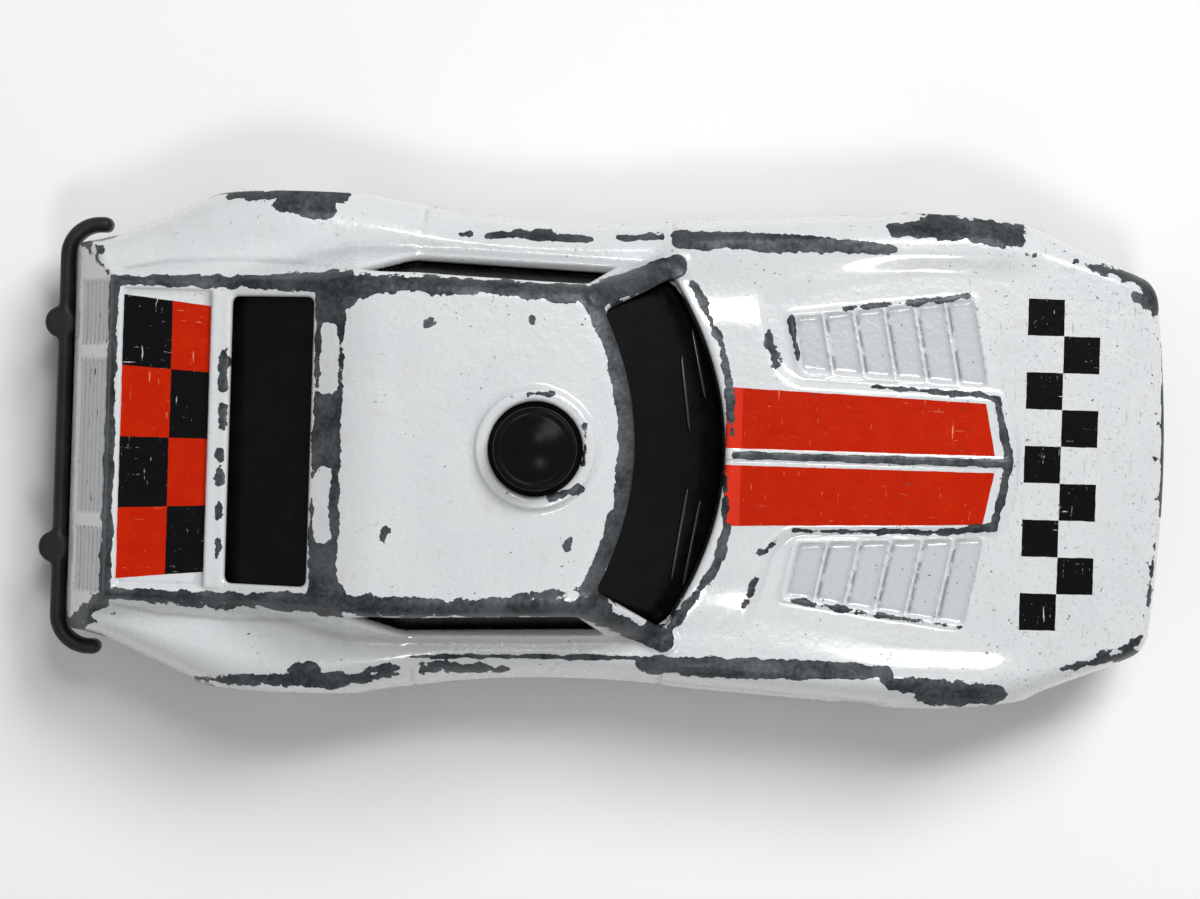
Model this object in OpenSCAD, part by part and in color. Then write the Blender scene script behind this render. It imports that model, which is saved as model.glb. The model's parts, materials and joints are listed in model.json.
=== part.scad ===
// Toy police car in die-cast metal, about 1:64.
// Nose along +X, left side along +Y, wheels stand on Z = 0. All lengths in mm.

/* [Body] */
// Length of the painted shell, tail to nose
body_l = 72; // [62:0.5:84]
// Width over the rear fenders
body_w = 33; // [29:0.5:38]
// Height of the belt line
belt_h = 12.8; // [12.2:0.1:14.5]
// Rise of the roof above the belt line
cabin_h = 7; // [6:0.1:8.4]
// Rounding of the roof edge
roof_round = 1.1; // [0.8:0.05:1.4]
// Rise of the rear deck above the belt line
deck_rise = 1.7; // [1.4:0.1:2.2]
// Shoulder on each side, between the cabin and the widest point
shoulder_w = 3.9; // [3.2:0.1:4.6]
// How far the ridges beside the deck stand in from the belt line
ridge_in = 2.35; // [1.8:0.05:2.9]
// Width of a ridge beside the rear window
ridge_w = 1.05; // [0.8:0.05:1.5]
// Height of the sill edge
sill_h = 3.8; // [3.4:0.05:4.2]
// How far the sides tuck in towards the sill
sill_tuck = 0.4; // [0.2:0.05:0.8]
// Cast wall thickness
wall = 1.1; // [0.9:0.05:1.25]
// Wall thickness round the windows
cabin_wall = 0.7; // [0.5:0.05:0.9]
// Bow of the nose in plan
nose_bow = 0.9; // [0.4:0.1:1.5]
// Forward lean of the tail panel over its height
tail_lean = 3.4; // [2.6:0.1:4]
// Height of the lower edge of the tail panel
tail_low_h = 7.6; // [7:0.1:8.2]
// Depth of the tray in the rear deck
tray_deep = 0.25; // [0.1:0.05:0.4]
// Rim round the tray
tray_rim = 0.6; // [0.4:0.05:1]
// Width of the lip below the rear window
lip_w = 1; // [0.6:0.1:1.2]
// Rise of the lip above the deck
lip_rise = 0.2; // [0.1:0.05:0.4]

/* [Cabin] */
// From the front axle back to the foot of the windscreen
dash_l = 15.36; // [14:0.02:17]
// Rise of the cowl above the belt line
cowl_rise = 0.2; // [0.1:0.05:0.4]
// Lean of the windscreen from upright, degrees
screen_lean = 44; // [38:1:48]
// Sweep of the windscreen in plan
screen_bow = 3.5; // [2.6:0.1:4]
// From the rear axle back to the foot of the rear window
lip_back = 3.96; // [3:0.02:5]
// Lean of the rear window from upright, degrees
rear_lean = 60; // [56:1:62]
// Lean of the side windows from upright, degrees
side_lean = 16.4; // [13:0.2:20]
// Width of the pillars beside the windscreen, at the cowl
pillar_w = 1.5; // [1.2:0.1:2]
// Width of the pillars beside the windscreen, at the roof
pillar_top_w = 2.4; // [1.8:0.1:3]
// Painted band above and below the windscreen
header_w = 0.2; // [0.1:0.05:0.5]
// Painted band between the roof edge and the rear window
rear_header_w = 1.3; // [0.8:0.1:1.8]
// From the foot of the windscreen back to the side window
side_front_gap = 7.7; // [7:0.1:9]
// From the foot of the rear window forward to the side window
side_rear_gap = 8.6; // [7.6:0.1:10]
// Height of the side window sill above the belt line
side_sill = 0.5; // [0.4:0.05:1]
// Depth of the roof rail above the side window
side_rail = 1.7; // [1.5:0.05:2.2]
// Thickness of the window moulding
glass_t = 0.9; // [0.6:0.05:1.1]

/* [Beacon] */
// From the foot of the windscreen back to the beacon
beacon_back = 12.3; // [11:0.1:14]
// Diameter of the roof collar
collar_d = 7.5; // [7:0.1:9]
// Height of the collar above the roof
collar_rise = 0.35; // [0.2:0.05:0.8]
// Clearance between the beacon and the collar
beacon_gap = 0.35; // [0.2:0.05:0.5]
// Diameter of the beacon drum
beacon_d = 5.3; // [4.4:0.1:5.8]
// Height of the beacon above the roof
beacon_rise = 2.4; // [1.4:0.1:3.4]

/* [Hood] */
// Rise of the centre panel
bulge_rise = 0.35; // [0.15:0.05:0.6]
// From the foot of the windscreen forward to the louvre panels
louvre_gap = 4; // [3.4:0.1:5]
// Length of the louvre panels
louvre_l = 12.6; // [11:0.1:14]
// Distance of the louvre panels from the centreline
louvre_in = 5; // [4.9:0.1:5.6]
// Width of the louvre panels at the rear
louvre_w_rear = 4.1; // [3.4:0.1:4.8]
// Width of the louvre panels at the front
louvre_w_front = 5.6; // [4.8:0.1:6]
// Slats in each panel
louvre_n = 6; // [4:1:8]
// Height of a slat above the hood
louvre_rise = 0.35; // [0.2:0.05:0.45]
// Lean of the slats in plan, degrees
louvre_lean = 12; // [0:1:18]

/* [Wheels] */
// Distance between the axles
wheelbase = 44; // [40:0.1:48]
// Share of the overhang that lies in front of the front axle
front_overhang_share = 0.48; // [0.44:0.01:0.54]
// Front tyre diameter
front_wheel_d = 10.4; // [9.4:0.1:10.8]
// Rear tyre diameter
rear_wheel_d = 11.2; // [9.8:0.1:11.8]
// Front tyre width
front_wheel_w = 4.2; // [3.4:0.1:4.8]
// Rear tyre width
rear_wheel_w = 4.4; // [3.6:0.1:5]
// How far the front tyres stand inside the rear fenders
front_inset = 1.2; // [0.9:0.05:1.8]
// How far the rear tyres stand inside the rear fenders
rear_inset = 1; // [0.6:0.05:1.8]
// Axle wire diameter
axle_d = 1.2; // [0.9:0.05:1.4]
// Rim diameter as a share of the tyre
rim_share = 0.68; // [0.6:0.01:0.74]
// Spokes of a rim
spoke_n = 5; // [4:1:8]
// Gap between tyre and wheel arch
arch_gap = 0.6; // [0.4:0.05:0.8]

/* [Base] */
// Height of the underside
base_h = 2.8; // [2.4:0.05:3]
// Thickness of the floor
base_t = 1.4; // [1.2:0.05:1.7]
// How far the rear bumper stands inside the rear fenders
bumper_inset = 2; // [1.6:0.1:3]
// Depth of the rear bumper bar
bumper_t = 1; // [0.8:0.05:1.2]
// Height of the rear bumper bar
bumper_rise = 2.4; // [1.8:0.1:2.8]
// Distance of the bumper stubs from the ends of the bumper
stub_inset = 7.05; // [5.5:0.05:9]
// Width of a bumper stub
stub_w = 2.1; // [1.6:0.1:2.6]
// How far the stubs stand out behind the tail
stub_reach = 2; // [1.8:0.1:2.4]
// Width of the grille
grille_w = 18.8; // [16.5:0.1:20]
// From the belt line down to the top of the grille
grille_drop = 3.9; // [3.7:0.05:4.6]
// Bars of the grille
grille_n = 11; // [7:2:15]

/* [Interior] */
// From the foot of the rear window forward to the tub
tub_rear_gap = 7.8; // [7:0.1:9]
// From the foot of the windscreen back to the tub
tub_front_gap = 1.4; // [1:0.1:3]
// Room between the tub and the belt line, on each side
tub_side_gap = 2.6; // [2.4:0.1:3.2]
// Wall of the tub
tub_t = 0.8; // [0.6:0.05:1]

/* [Fit] */
// Gap between pieces that are assembled
gap = 0.15; // [0.1:0.01:0.2]
// Radial clearance where a wheel turns on its axle
spin_gap = 0.05; // [0.03:0.005:0.08]
// Diameter of the rivet posts
post_d = 3.4; // [2.8:0.1:3.8]

/* [Hidden] */
$fn = 48;
over = wall / 2;
// places along the car
nose_x = (body_l + stub_reach) / 2;
tail_x = nose_x - body_l;
front_axle_x = nose_x - (body_l - wheelbase) * front_overhang_share;
rear_axle_x = front_axle_x - wheelbase;
cowl_x = front_axle_x - dash_l;
lip_x = rear_axle_x - lip_back;
tail_top_x = tail_x + tail_lean;
beacon_x = cowl_x - beacon_back;
louvre_x = cowl_x + louvre_gap;
side_front_x = cowl_x - side_front_gap;
side_rear_x = lip_x + side_rear_gap;
tub_rear_x = lip_x + tub_rear_gap;
tub_front_x = cowl_x - tub_front_gap;
tub_l = tub_front_x - tub_rear_x;
// each rivet post stands at this share of the way from an axle to the cowl or the tail
front_post_share = 0.56;
rear_post_share = 0.52;
front_post_x = front_axle_x - dash_l * front_post_share;
rear_post_x = rear_axle_x - (rear_axle_x - tail_x) * rear_post_share;
// heights
roof_h = belt_h + cabin_h;
deck_h = belt_h + deck_rise;
cowl_h = belt_h + cowl_rise;
side_low_h = belt_h + side_sill;
side_top_h = roof_h - side_rail;
grille_top_h = belt_h - grille_drop;
floor_h = base_h + base_t;
boss_top_h = floor_h + base_t * 0.6;
rivet_head_h = base_h + base_t * 0.1;
rivet_web_h = base_h + base_t * 0.55;
canopy_low_h = belt_h - wall * 1.5;
tub_top_h = canopy_low_h - gap;
// widths
belt_w = body_w - shoulder_w * 2;
deck_w = belt_w - ridge_in * 2;
rear_glass_w = deck_w - ridge_w * 2;
front_track = body_w - front_inset * 2;
rear_track = body_w - rear_inset * 2;
bumper_w = body_w - bumper_inset * 2;
stub_y = bumper_w / 2 - stub_inset;
tub_w = belt_w - tub_side_gap * 2;
screen_half = belt_w * 0.445;
// radii, diameters and slopes
front_arch_r = front_wheel_d / 2 + arch_gap;
rear_arch_r = rear_wheel_d / 2 + arch_gap;
beacon_hole_d = beacon_d + beacon_gap * 2;
rivet_d = post_d * 0.65;
rivet_head_d = post_d * 1.05;
head_d = axle_d * 1.75;
hub_d = axle_d * 2.3;
screen_run = tan(screen_lean);
rear_run = tan(rear_lean);
side_run = tan(side_lean);
deck_run = 0.85;
tail_angle = atan2(tail_lean, deck_h - tail_low_h);
white = [0.88, 0.9, 0.9];
black = [0.05, 0.05, 0.055];
smoke = [0.08, 0.08, 0.09];
steel = [0.7, 0.71, 0.72];
chrome = [0.82, 0.83, 0.85];
dark_grey = [0.2, 0.2, 0.21];

// Lines of the lower body, tail to nose. Each row: share of the length, half width at the
// widest and at the shoulder (shares of half the width), height on the centreline, at the
// shoulder and where the side is widest (shares of the belt height).
line_shares = [
    [0.000, 0.765, 0.690, 0.960, 0.915, 0.60],
    [0.039, 0.806, 0.710, 0.985, 0.930, 0.60],
    [0.075, 0.872, 0.745, 1.000, 0.960, 0.62],
    [0.135, 0.968, 0.812, 1.005, 1.000, 0.74],
    [0.203, 1.000, 0.850, 1.010, 1.016, 0.86],
    [0.278, 0.985, 0.838, 1.010, 1.010, 0.74],
    [0.349, 0.938, 0.800, 1.000, 0.994, 0.62],
    [0.431, 0.913, 0.784, 1.000, 0.986, 0.58],
    [0.514, 0.915, 0.788, 1.008, 0.984, 0.58],
    [0.578, 0.932, 0.825, 1.020, 0.980, 0.62],
    [0.669, 0.954, 0.842, 1.020, 0.973, 0.66],
    [0.760, 0.976, 0.848, 0.998, 0.962, 0.72],
    [0.814, 0.985, 0.848, 0.978, 0.950, 0.74],
    [0.869, 0.948, 0.820, 0.948, 0.922, 0.68],
    [0.924, 0.866, 0.764, 0.908, 0.885, 0.62],
    [0.976, 0.780, 0.700, 0.862, 0.838, 0.60],
    [1.000, 0.735, 0.655, 0.815, 0.790, 0.60]];
station_n = 40;
nose_stations = [0.9375, 0.9625, 0.988, 0.995];
top_shares = [0.28, 0.335, 0.5, 0.68, 0.85, 1];
side_shares = [0.18, 0.36, 0.54, 0.76, 1];
// Shares of the length between which the centre panel of the hood is raised
bulge_shares = [0.6, 0.84, 0.858];

function mix(a, b, t) = a + (b - a) * t;
function clamp01(t) = max(0, min(1, t));
function row_of(s, i = 0) =
    i >= len(line_shares) - 2 || s < line_shares[i + 1][0] ? i : row_of(s, i + 1);
function slope_at(c, i) =
    let (a = max(i - 1, 0), b = min(i + 1, len(line_shares) - 1))
    (line_shares[b][c] - line_shares[a][c]) / (line_shares[b][0] - line_shares[a][0]);
// Smooth curve through column c of the lines, at share s of the length
function line_at(c, s) =
    let (i = row_of(s), h = line_shares[i + 1][0] - line_shares[i][0],
        u = (s - line_shares[i][0]) / h, v = 1 - u)
    line_shares[i][c] * (1 + 2 * u) * v * v + line_shares[i + 1][c] * u * u * (3 - 2 * u)
    + h * u * v * (slope_at(c, i) * v - slope_at(c, i + 1) * u);
// The lines follow the axles, which lie at these shares of the length in the table above
rear_axle_share = 0.2022;
front_axle_share = 0.8133;
function share_at(x) = lookup(x, [[tail_x, 0], [rear_axle_x, rear_axle_share],
    [front_axle_x, front_axle_share], [nose_x, 1]]);
function sill_half(x) = body_w / 2 * line_at(1, share_at(x));
function bulge_at(s) = bulge_rise
    * (s < bulge_shares[0] ? 0 : clamp01((bulge_shares[2] - s) / (bulge_shares[2] - bulge_shares[1])));
function hood_h(x, a) =
    let (s = share_at(x)) belt_h * mix(line_at(3, s), line_at(4, s), a * a);

// One half of a section of the lower body, centre to sill, set in by d
function half_section(s, d) =
    let (w = body_w / 2 * line_at(1, s) - d, sh = body_w / 2 * line_at(2, s) - d,
        zc = belt_h * line_at(3, s) - d, zs = belt_h * line_at(4, s) - d,
        zw = belt_h * line_at(5, s), low = sill_h - (d > 0 ? over : 0))
    concat(
        [for (a = top_shares) [sh * a, mix(zc, zs, a * a) + (a == top_shares[0] ? bulge_at(s) : 0)]],
        [for (t = side_shares) [mix(sh, w, sin(90 * t)), mix(zw, zs, cos(90 * t))]],
        [[w - sill_tuck, low]]);
function body_ring(s0, d) =
    let (x = mix(tail_x + d, nose_x - d, s0), s = share_at(x), half = half_section(s, d),
        bow = nose_bow * pow(clamp01((s - 0.8) / 0.2), 2), n = len(half), wide = half[n - 2][0],
        top = belt_h * line_at(3, s) - d + bulge_at(s),
        flat = concat([for (i = [n - 1 : -1 : 0]) [-half[i][0], half[i][1]]], [[0, top]], half))
    [for (p = flat) [x - bow * pow(p[0] / wide, 2), p[0], p[1]]];

// Closed skin over rings of equal length, with a fan over each end
module loft(rings) {
    n = len(rings[0]);
    m = len(rings);
    ends = [rings[0], rings[m - 1]];
    middle = [for (r = ends) [for (k = [0 : 2]) [for (p = r) 1] * [for (p = r) p[k]] / n]];
    points = concat([for (r = rings) for (p = r) p], middle);
    faces = concat(
        [for (j = [0 : m - 2]) for (i = [0 : n - 1])
            [j * n + i, j * n + (i + 1) % n, (j + 1) * n + i]],
        [for (j = [0 : m - 2]) for (i = [0 : n - 1])
            [j * n + (i + 1) % n, (j + 1) * n + (i + 1) % n, (j + 1) * n + i]],
        [for (i = [0 : n - 1]) [m * n, (i + 1) % n, i]],
        [for (i = [0 : n - 1]) [m * n + 1, (m - 1) * n + i, (m - 1) * n + (i + 1) % n]]);
    polyhedron(points, faces);
}

module lower_body(d) {
    even = [for (i = [0 : station_n]) i / station_n];
    late = [for (s = even) if (s < nose_stations[0] - 0.5 / station_n) s];
    loft([for (s = concat(late, nose_stations, [1])) body_ring(s, d)]);
}

// Cabin outline at height z, set in by d from the outer skin and by e from its slopes.
// Behind the roof the sides draw in to the ridges beside the deck.
function screen_x(z, d) = cowl_x - (z - cowl_h) * screen_run - d * norm([1, screen_run]);
function rear_x(z, d) = lip_x + (z - deck_h) * rear_run + d * norm([1, rear_run]);
function cabin_half(z, d) = belt_w / 2 - (z - belt_h) * side_run - d * norm([1, side_run]);
function screen_sweep(y) = screen_bow * pow(y / screen_half, 2);
front_n = 10;
ridge_round = roof_round * 0.4;
roof_crown = (screen_x(roof_h, 0) - rear_x(roof_h, 0)) * 0.26;
function cabin_ring(z, d, e) =
    let (f = screen_x(z, d) - e, r = rear_x(z, d) + e, w = cabin_half(z, d) - e,
        ridge = min(w, deck_w / 2 - d * norm([1, side_run])), c = ridge_round,
        bend = max(rear_x(roof_h - roof_round, d) + roof_round, r + c * 2),
        back = [[bend, w], [r + c, ridge], [r + c * 0.3, ridge - c * 0.3], [r, ridge - c]])
    concat(
        [for (i = [0 : front_n]) let (y = w * (1 - 2 * i / front_n)) [f - screen_sweep(y), y, z]],
        [for (p = back) [p[0], -p[1], z]],
        [for (i = [len(back) - 1 : -1 : 0]) [back[i][0], back[i][1], z]]);
module cabin(d, low) {
    loft([
        cabin_ring(low, d, 0),
        cabin_ring(roof_h - d - roof_round, d, 0),
        cabin_ring(roof_h - d - roof_round * 0.6, d, roof_round * 0.12),
        cabin_ring(roof_h - d - roof_round * 0.32, d, roof_round * 0.45),
        cabin_ring(roof_h - d - roof_round * 0.18, d, roof_round),
        cabin_ring(roof_h - d, d, roof_crown)]);
}

// Rear deck, a low block between the ridges that run back from the roof
function deck_ring(z, d, e) =
    let (w = deck_w / 2 + (deck_h - z) * deck_run - d * norm([1, deck_run]) - e,
        r = tail_x + d, f = lip_x + lip_back)
    [[f, w, z], [f, -w, z], [r, -w, z], [r, w, z]];
module deck(d, low) {
    loft([
        deck_ring(low, d, 0),
        deck_ring(deck_h - d - roof_round * 0.35, d, 0),
        deck_ring(deck_h - d - roof_round * 0.1, d, roof_round * 0.12),
        deck_ring(deck_h - d, d, roof_round * 0.5)]);
}

// Everything behind the tail panel, set in by d
module tail_cut(d) {
    shift = d / cos(tail_angle);
    far = tail_lean * 2;
    rise = roof_h - tail_low_h;
    rotate([90, 0, 0])
        linear_extrude(body_w, center = true)
            polygon([[tail_x + shift, tail_low_h], [tail_x + shift + rise * tan(tail_angle), roof_h],
                [tail_x - far, roof_h], [tail_x - far, tail_low_h]]);
}
// Shallow tray in the deck, and the lip between it and the rear window
module deck_tray() {
    from = tail_top_x + tray_rim;
    long = max(lip_x - lip_w - from, tray_rim);
    translate([from, -deck_w / 2 + tray_rim, deck_h - tray_deep])
        cube([long, deck_w - tray_rim * 2, wall]);
}
module deck_lip() {
    translate([lip_x - lip_w, -rear_glass_w / 2 - over, deck_h - over])
        cube([lip_w + header_w, rear_glass_w + wall, over + lip_rise]);
}
// Solid body, set in by d, and by c round the windows
module body_mass(d, c, low) {
    difference() {
        union() {
            lower_body(d);
            deck(d, low);
        }
        tail_cut(d);
    }
    cabin(c, low);
}

// Points across the windscreen at x on the centreline, from y to -y
function screen_edge(x, y) =
    [for (i = [0 : front_n]) let (at = y * (1 - 2 * i / front_n)) [x - screen_sweep(at), at]];
module screen_hole() {
    high = roof_h - roof_round;
    low_half = cabin_half(cowl_h, 0) - pillar_w;
    top_half = cabin_half(high, 0) - pillar_top_w;
    low_x = screen_x(cowl_h, 0) - header_w;
    top_x = screen_x(high, 0) + header_w;
    translate([0, 0, cowl_h - over])
        linear_extrude(roof_h - cowl_h + wall)
            polygon(concat(screen_edge(low_x, low_half), screen_edge(top_x, -top_half)));
}
module rear_hole() {
    front_x = rear_x(roof_h - roof_round, 0) - rear_header_w;
    back_x = lip_x + header_w * 2;
    translate([back_x, -rear_glass_w / 2, deck_h - wall])
        cube([front_x - back_x, rear_glass_w, roof_h]);
}
module side_holes() {
    rise = side_top_h - side_low_h;
    rotate([90, 0, 0])
        linear_extrude(body_w, center = true)
            polygon([
                [side_rear_x + rise * 0.75, side_low_h], [side_front_x, side_low_h],
                [side_front_x - rise * 0.34, side_top_h], [side_rear_x + rise * 0.22, side_top_h],
                [side_rear_x, side_top_h - rise * 0.18]]);
}
module arches() {
    for (a = [[front_axle_x, front_wheel_d / 2, front_arch_r, front_track / 2 - front_wheel_w],
        [rear_axle_x, rear_wheel_d / 2, rear_arch_r, rear_track / 2 - rear_wheel_w]])
        for (side = [-1, 1])
            translate([a[0], side * (a[3] - gap), a[1]])
                rotate([-90 * side, 0, 0])
                    cylinder(r = a[2], h = body_w / 2 - a[3] + wall);
}
// Strip with saw teeth along X, rising along Z, centred across Y
module teeth(run, across, n, rise, root) {
    pitch = run / n;
    rotate([90, 0, 0])
        linear_extrude(across, center = true)
            polygon(concat([[0, -root]],
                [for (i = [0 : n - 1]) for (p = [[0.12, 0], [0.28, 1], [0.42, 1], [0.96, 0]])
                    [(i + p[0]) * pitch, p[1] * rise]],
                [[run, -root]]));
}
module louvres() {
    far_x = louvre_x + louvre_l;
    mid_x = louvre_x + louvre_l / 2;
    near = hood_h(louvre_x, 0.5);
    drop = near - hood_h(far_x, 0.5);
    swell = hood_h(mid_x, 0.5) - near + drop / 2;
    fall = hood_h(mid_x, 0.36) - hood_h(mid_x, 0.72);
    middle = louvre_in + louvre_w_front / 2;
    lead = louvre_w_front / 2 * tan(louvre_lean);
    inner_x = louvre_x + louvre_w_rear * tan(louvre_lean);
    for (side = [-1, 1])
        intersection() {
            translate([louvre_x, side * middle, near + swell * 0.7])
                rotate([-side * atan2(fall, louvre_w_front), atan2(drop, louvre_l), side * louvre_lean])
                    translate([-lead, 0, 0])
                        teeth(louvre_l + lead * 2, louvre_w_front * 1.3, louvre_n, louvre_rise, wall * 0.6);
            linear_extrude(roof_h)
                polygon([[inner_x, side * louvre_in], [louvre_x, side * (louvre_in + louvre_w_rear)],
                    [far_x - lead, side * (louvre_in + louvre_w_front)], [far_x + lead, side * louvre_in]]);
        }
}
// Ribbed fields of the tail panel: share of the deck width for the middle and the width
tail_field_shares = [[-0.36, 0.21], [0, 0.5], [0.36, 0.21]];
tail_rib_n = 5;
module tail_ribs() {
    rise = deck_h - tail_low_h;
    for (f = tail_field_shares)
        translate([tail_x, f[0] * deck_w, tail_low_h])
            rotate([0, tail_angle - 90, 0])
                translate([rise * 0.22, 0, 0])
                    teeth(rise * 0.68, f[1] * deck_w, tail_rib_n, -wall * 0.28, -wall * 0.5);
}
module post(x, high) {
    translate([x, 0, boss_top_h])
        cylinder(d = post_d, h = high - boss_top_h);
    translate([x, 0, rivet_web_h])
        cylinder(d = rivet_d, h = boss_top_h - rivet_web_h + over);
    translate([x, 0, rivet_head_h])
        cylinder(d1 = rivet_d, d2 = rivet_head_d, h = rivet_web_h - rivet_head_h);
}

module body_shell() {
    color(white) {
        difference() {
            union() {
                body_mass(0, 0, belt_h - wall);
                louvres();
                deck_lip();
                translate([beacon_x, 0, roof_h - over])
                    cylinder(d = collar_d, h = over + collar_rise);
            }
            body_mass(wall, cabin_wall, belt_h - wall * 3);
            deck_tray();
            screen_hole();
            rear_hole();
            side_holes();
            arches();
            tail_ribs();
            translate([beacon_x, 0, roof_h - wall * 2])
                cylinder(d = beacon_hole_d, h = wall * 4);
            grille_space(gap);
            translate([tail_x - wall, -bumper_w * 0.34, 0])
                cube([wall * 4, bumper_w * 0.68, floor_h + gap]);
        }
        post(front_post_x, hood_h(front_post_x, 0) - over);
        post(rear_post_x, deck_h - over);
    }
}

module window_insert() {
    d = cabin_wall + gap;
    color(smoke) {
        intersection() {
            difference() {
                cabin(d, canopy_low_h);
                cabin(d + glass_t, canopy_low_h - over);
            }
            rotate([90, 0, 0])
                linear_extrude(body_w, center = true)
                    polygon([[front_axle_x, canopy_low_h], [side_rear_x + wall * 3, canopy_low_h],
                        [side_rear_x, deck_h - wall * 1.4], [lip_x - header_w, deck_h - wall * 1.4],
                        [lip_x - header_w, roof_h], [front_axle_x, roof_h]]);
        }
        translate([beacon_x, 0, roof_h - d - glass_t / 2])
            rotate_extrude()
                polygon([[0, 0], [beacon_d / 2, 0], [beacon_d / 2, beacon_rise * 0.62 + d + glass_t / 2],
                    [beacon_d * 0.46, beacon_rise * 0.8 + d + glass_t / 2],
                    [beacon_d * 0.36, beacon_rise * 0.9 + d + glass_t / 2],
                    [beacon_d * 0.2, beacon_rise * 0.97 + d + glass_t / 2],
                    [0, beacon_rise + d + glass_t / 2]]);
    }
}

module seat(x, y, w, deep, high) {
    translate([x, y - w / 2, floor_h + tub_t / 2])
        cube([deep, w, high * 0.45]);
    translate([x, y + w / 2, floor_h + tub_t / 2])
        rotate([90, 0, 0])
            linear_extrude(w)
                polygon([[deep * 0.1, 0], [deep * 0.42, 0], [deep * 0.2, high], [-deep * 0.1, high]]);
}
module interior_tub() {
    inside_h = tub_top_h - floor_h;
    wheel_at = [tub_front_x - tub_l * 0.19, tub_w * 0.22, floor_h + inside_h * 0.8];
    color(dark_grey) {
        difference() {
            union() {
                translate([tub_rear_x, -tub_w / 2, floor_h])
                    cube([tub_l, tub_w, inside_h]);
                translate([tub_rear_x + tub_l * 0.2, -tub_w / 2 - tub_t, tub_top_h - tub_t])
                    cube([tub_l * 0.7, tub_w + tub_t * 2, tub_t]);
            }
            translate([tub_rear_x + tub_t, -tub_w / 2 + tub_t, floor_h + tub_t])
                cube([tub_l - tub_t * 2, tub_w - tub_t * 2, inside_h]);
        }
        for (side = [-1, 1])
            seat(tub_rear_x + tub_l * 0.45, side * tub_w * 0.22, tub_w * 0.3, tub_l * 0.26, inside_h * 0.92);
        seat(tub_rear_x + tub_l * 0.12, 0, tub_w * 0.8, tub_l * 0.26, inside_h * 0.86);
        translate([tub_front_x - tub_l * 0.14, -tub_w / 2 + tub_t / 2, floor_h + inside_h * 0.5])
            cube([tub_l * 0.14 - tub_t / 2, tub_w - tub_t, inside_h * 0.42]);
        translate(wheel_at)
            rotate([0, -60, 0]) {
                rotate_extrude()
                    translate([tub_w * 0.1, 0])
                        circle(d = tub_t * 0.6, $fn = 16);
                cube([tub_t * 0.5, tub_w * 0.2, tub_t * 0.4], center = true);
                translate([0, 0, -tub_l * 0.09])
                    cylinder(d = tub_t * 0.7, h = tub_l * 0.09);
            }
    }
}

// Room in the nose for the grille, larger all round by g
module grille_space(g) {
    translate([nose_x - wall * 3, -grille_w / 2 - g, 0])
        cube([wall * 4, grille_w + g * 2, grille_top_h + g]);
}
function base_half(x) = sill_half(x) - sill_tuck - wall - gap;
module base_floor() {
    from = tail_x + wall + gap;
    to = nose_x - wall - gap - nose_bow;
    n = 28;
    edge = [for (i = [0 : n]) let (x = mix(from, to, i / n)) [x, base_half(x)]];
    translate([0, 0, base_h])
        linear_extrude(base_t)
            polygon(concat(edge, [for (i = [n : -1 : 0]) [edge[i][0], -edge[i][1]]]));
}
module wheel_wells() {
    for (a = [[front_axle_x, front_arch_r, front_track / 2 - front_wheel_w],
        [rear_axle_x, rear_arch_r, rear_track / 2 - rear_wheel_w]])
        for (side = [-1, 1])
            translate([a[0] - a[1], side > 0 ? a[2] - gap : -body_w, 0])
                cube([a[1] * 2, body_w - a[2] + gap, belt_h]);
}
module bearing(x, h, half) {
    long = axle_d * 3;
    deep = half * 0.24;
    for (side = [-1, 1])
        translate([x - long / 2, side > 0 ? half - gap - deep : gap - half, floor_h - over])
            cube([long, deep, h + axle_d * 1.3 - floor_h + over]);
}
module axle_bore(x, h) {
    translate([x, body_w / 2, h])
        rotate([90, 0, 0])
            cylinder(d = axle_d + spin_gap * 2, h = body_w);
}
module rear_bumper() {
    low = tail_low_h - bumper_rise - gap * 2;
    r = bumper_t * 2.6;
    back = tail_x - gap - bumper_t;
    wrap = bumper_t * 3.1;
    half = bumper_w / 2;
    translate([back, -half + r, low])
        cube([bumper_t, bumper_w - r * 2, bumper_rise]);
    for (side = [-1, 1]) {
        intersection() {
            translate([back + r, side * (half - r), low])
                difference() {
                    cylinder(r = r, h = bumper_rise);
                    translate([0, 0, -over])
                        cylinder(r = r - bumper_t, h = bumper_rise + wall);
                }
            translate([back, side > 0 ? half - r : -half, 0])
                cube([r, r, roof_h]);
        }
        translate([back + r, side > 0 ? half - bumper_t : -half, low])
            cube([wrap - r, bumper_t, bumper_rise]);
        translate([back + wrap, side * (half - bumper_t / 2), low])
            cylinder(d = bumper_t, h = bumper_rise);
        translate([tail_x - stub_reach + stub_w / 2, side * stub_y, low - bumper_rise * 0.1])
            cylinder(d = stub_w, h = bumper_rise * 1.12);
    }
    // valance that joins the bar to the floor, under the tail of the shell
    translate([back, -bumper_w * 0.33, base_h])
        cube([bumper_t + wall * 3, bumper_w * 0.66, base_t]);
    translate([back + bumper_t * 0.25, -bumper_w * 0.33, base_h])
        cube([bumper_t * 0.75, bumper_w * 0.66, low - base_h + bumper_rise * 0.2]);
}
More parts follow.
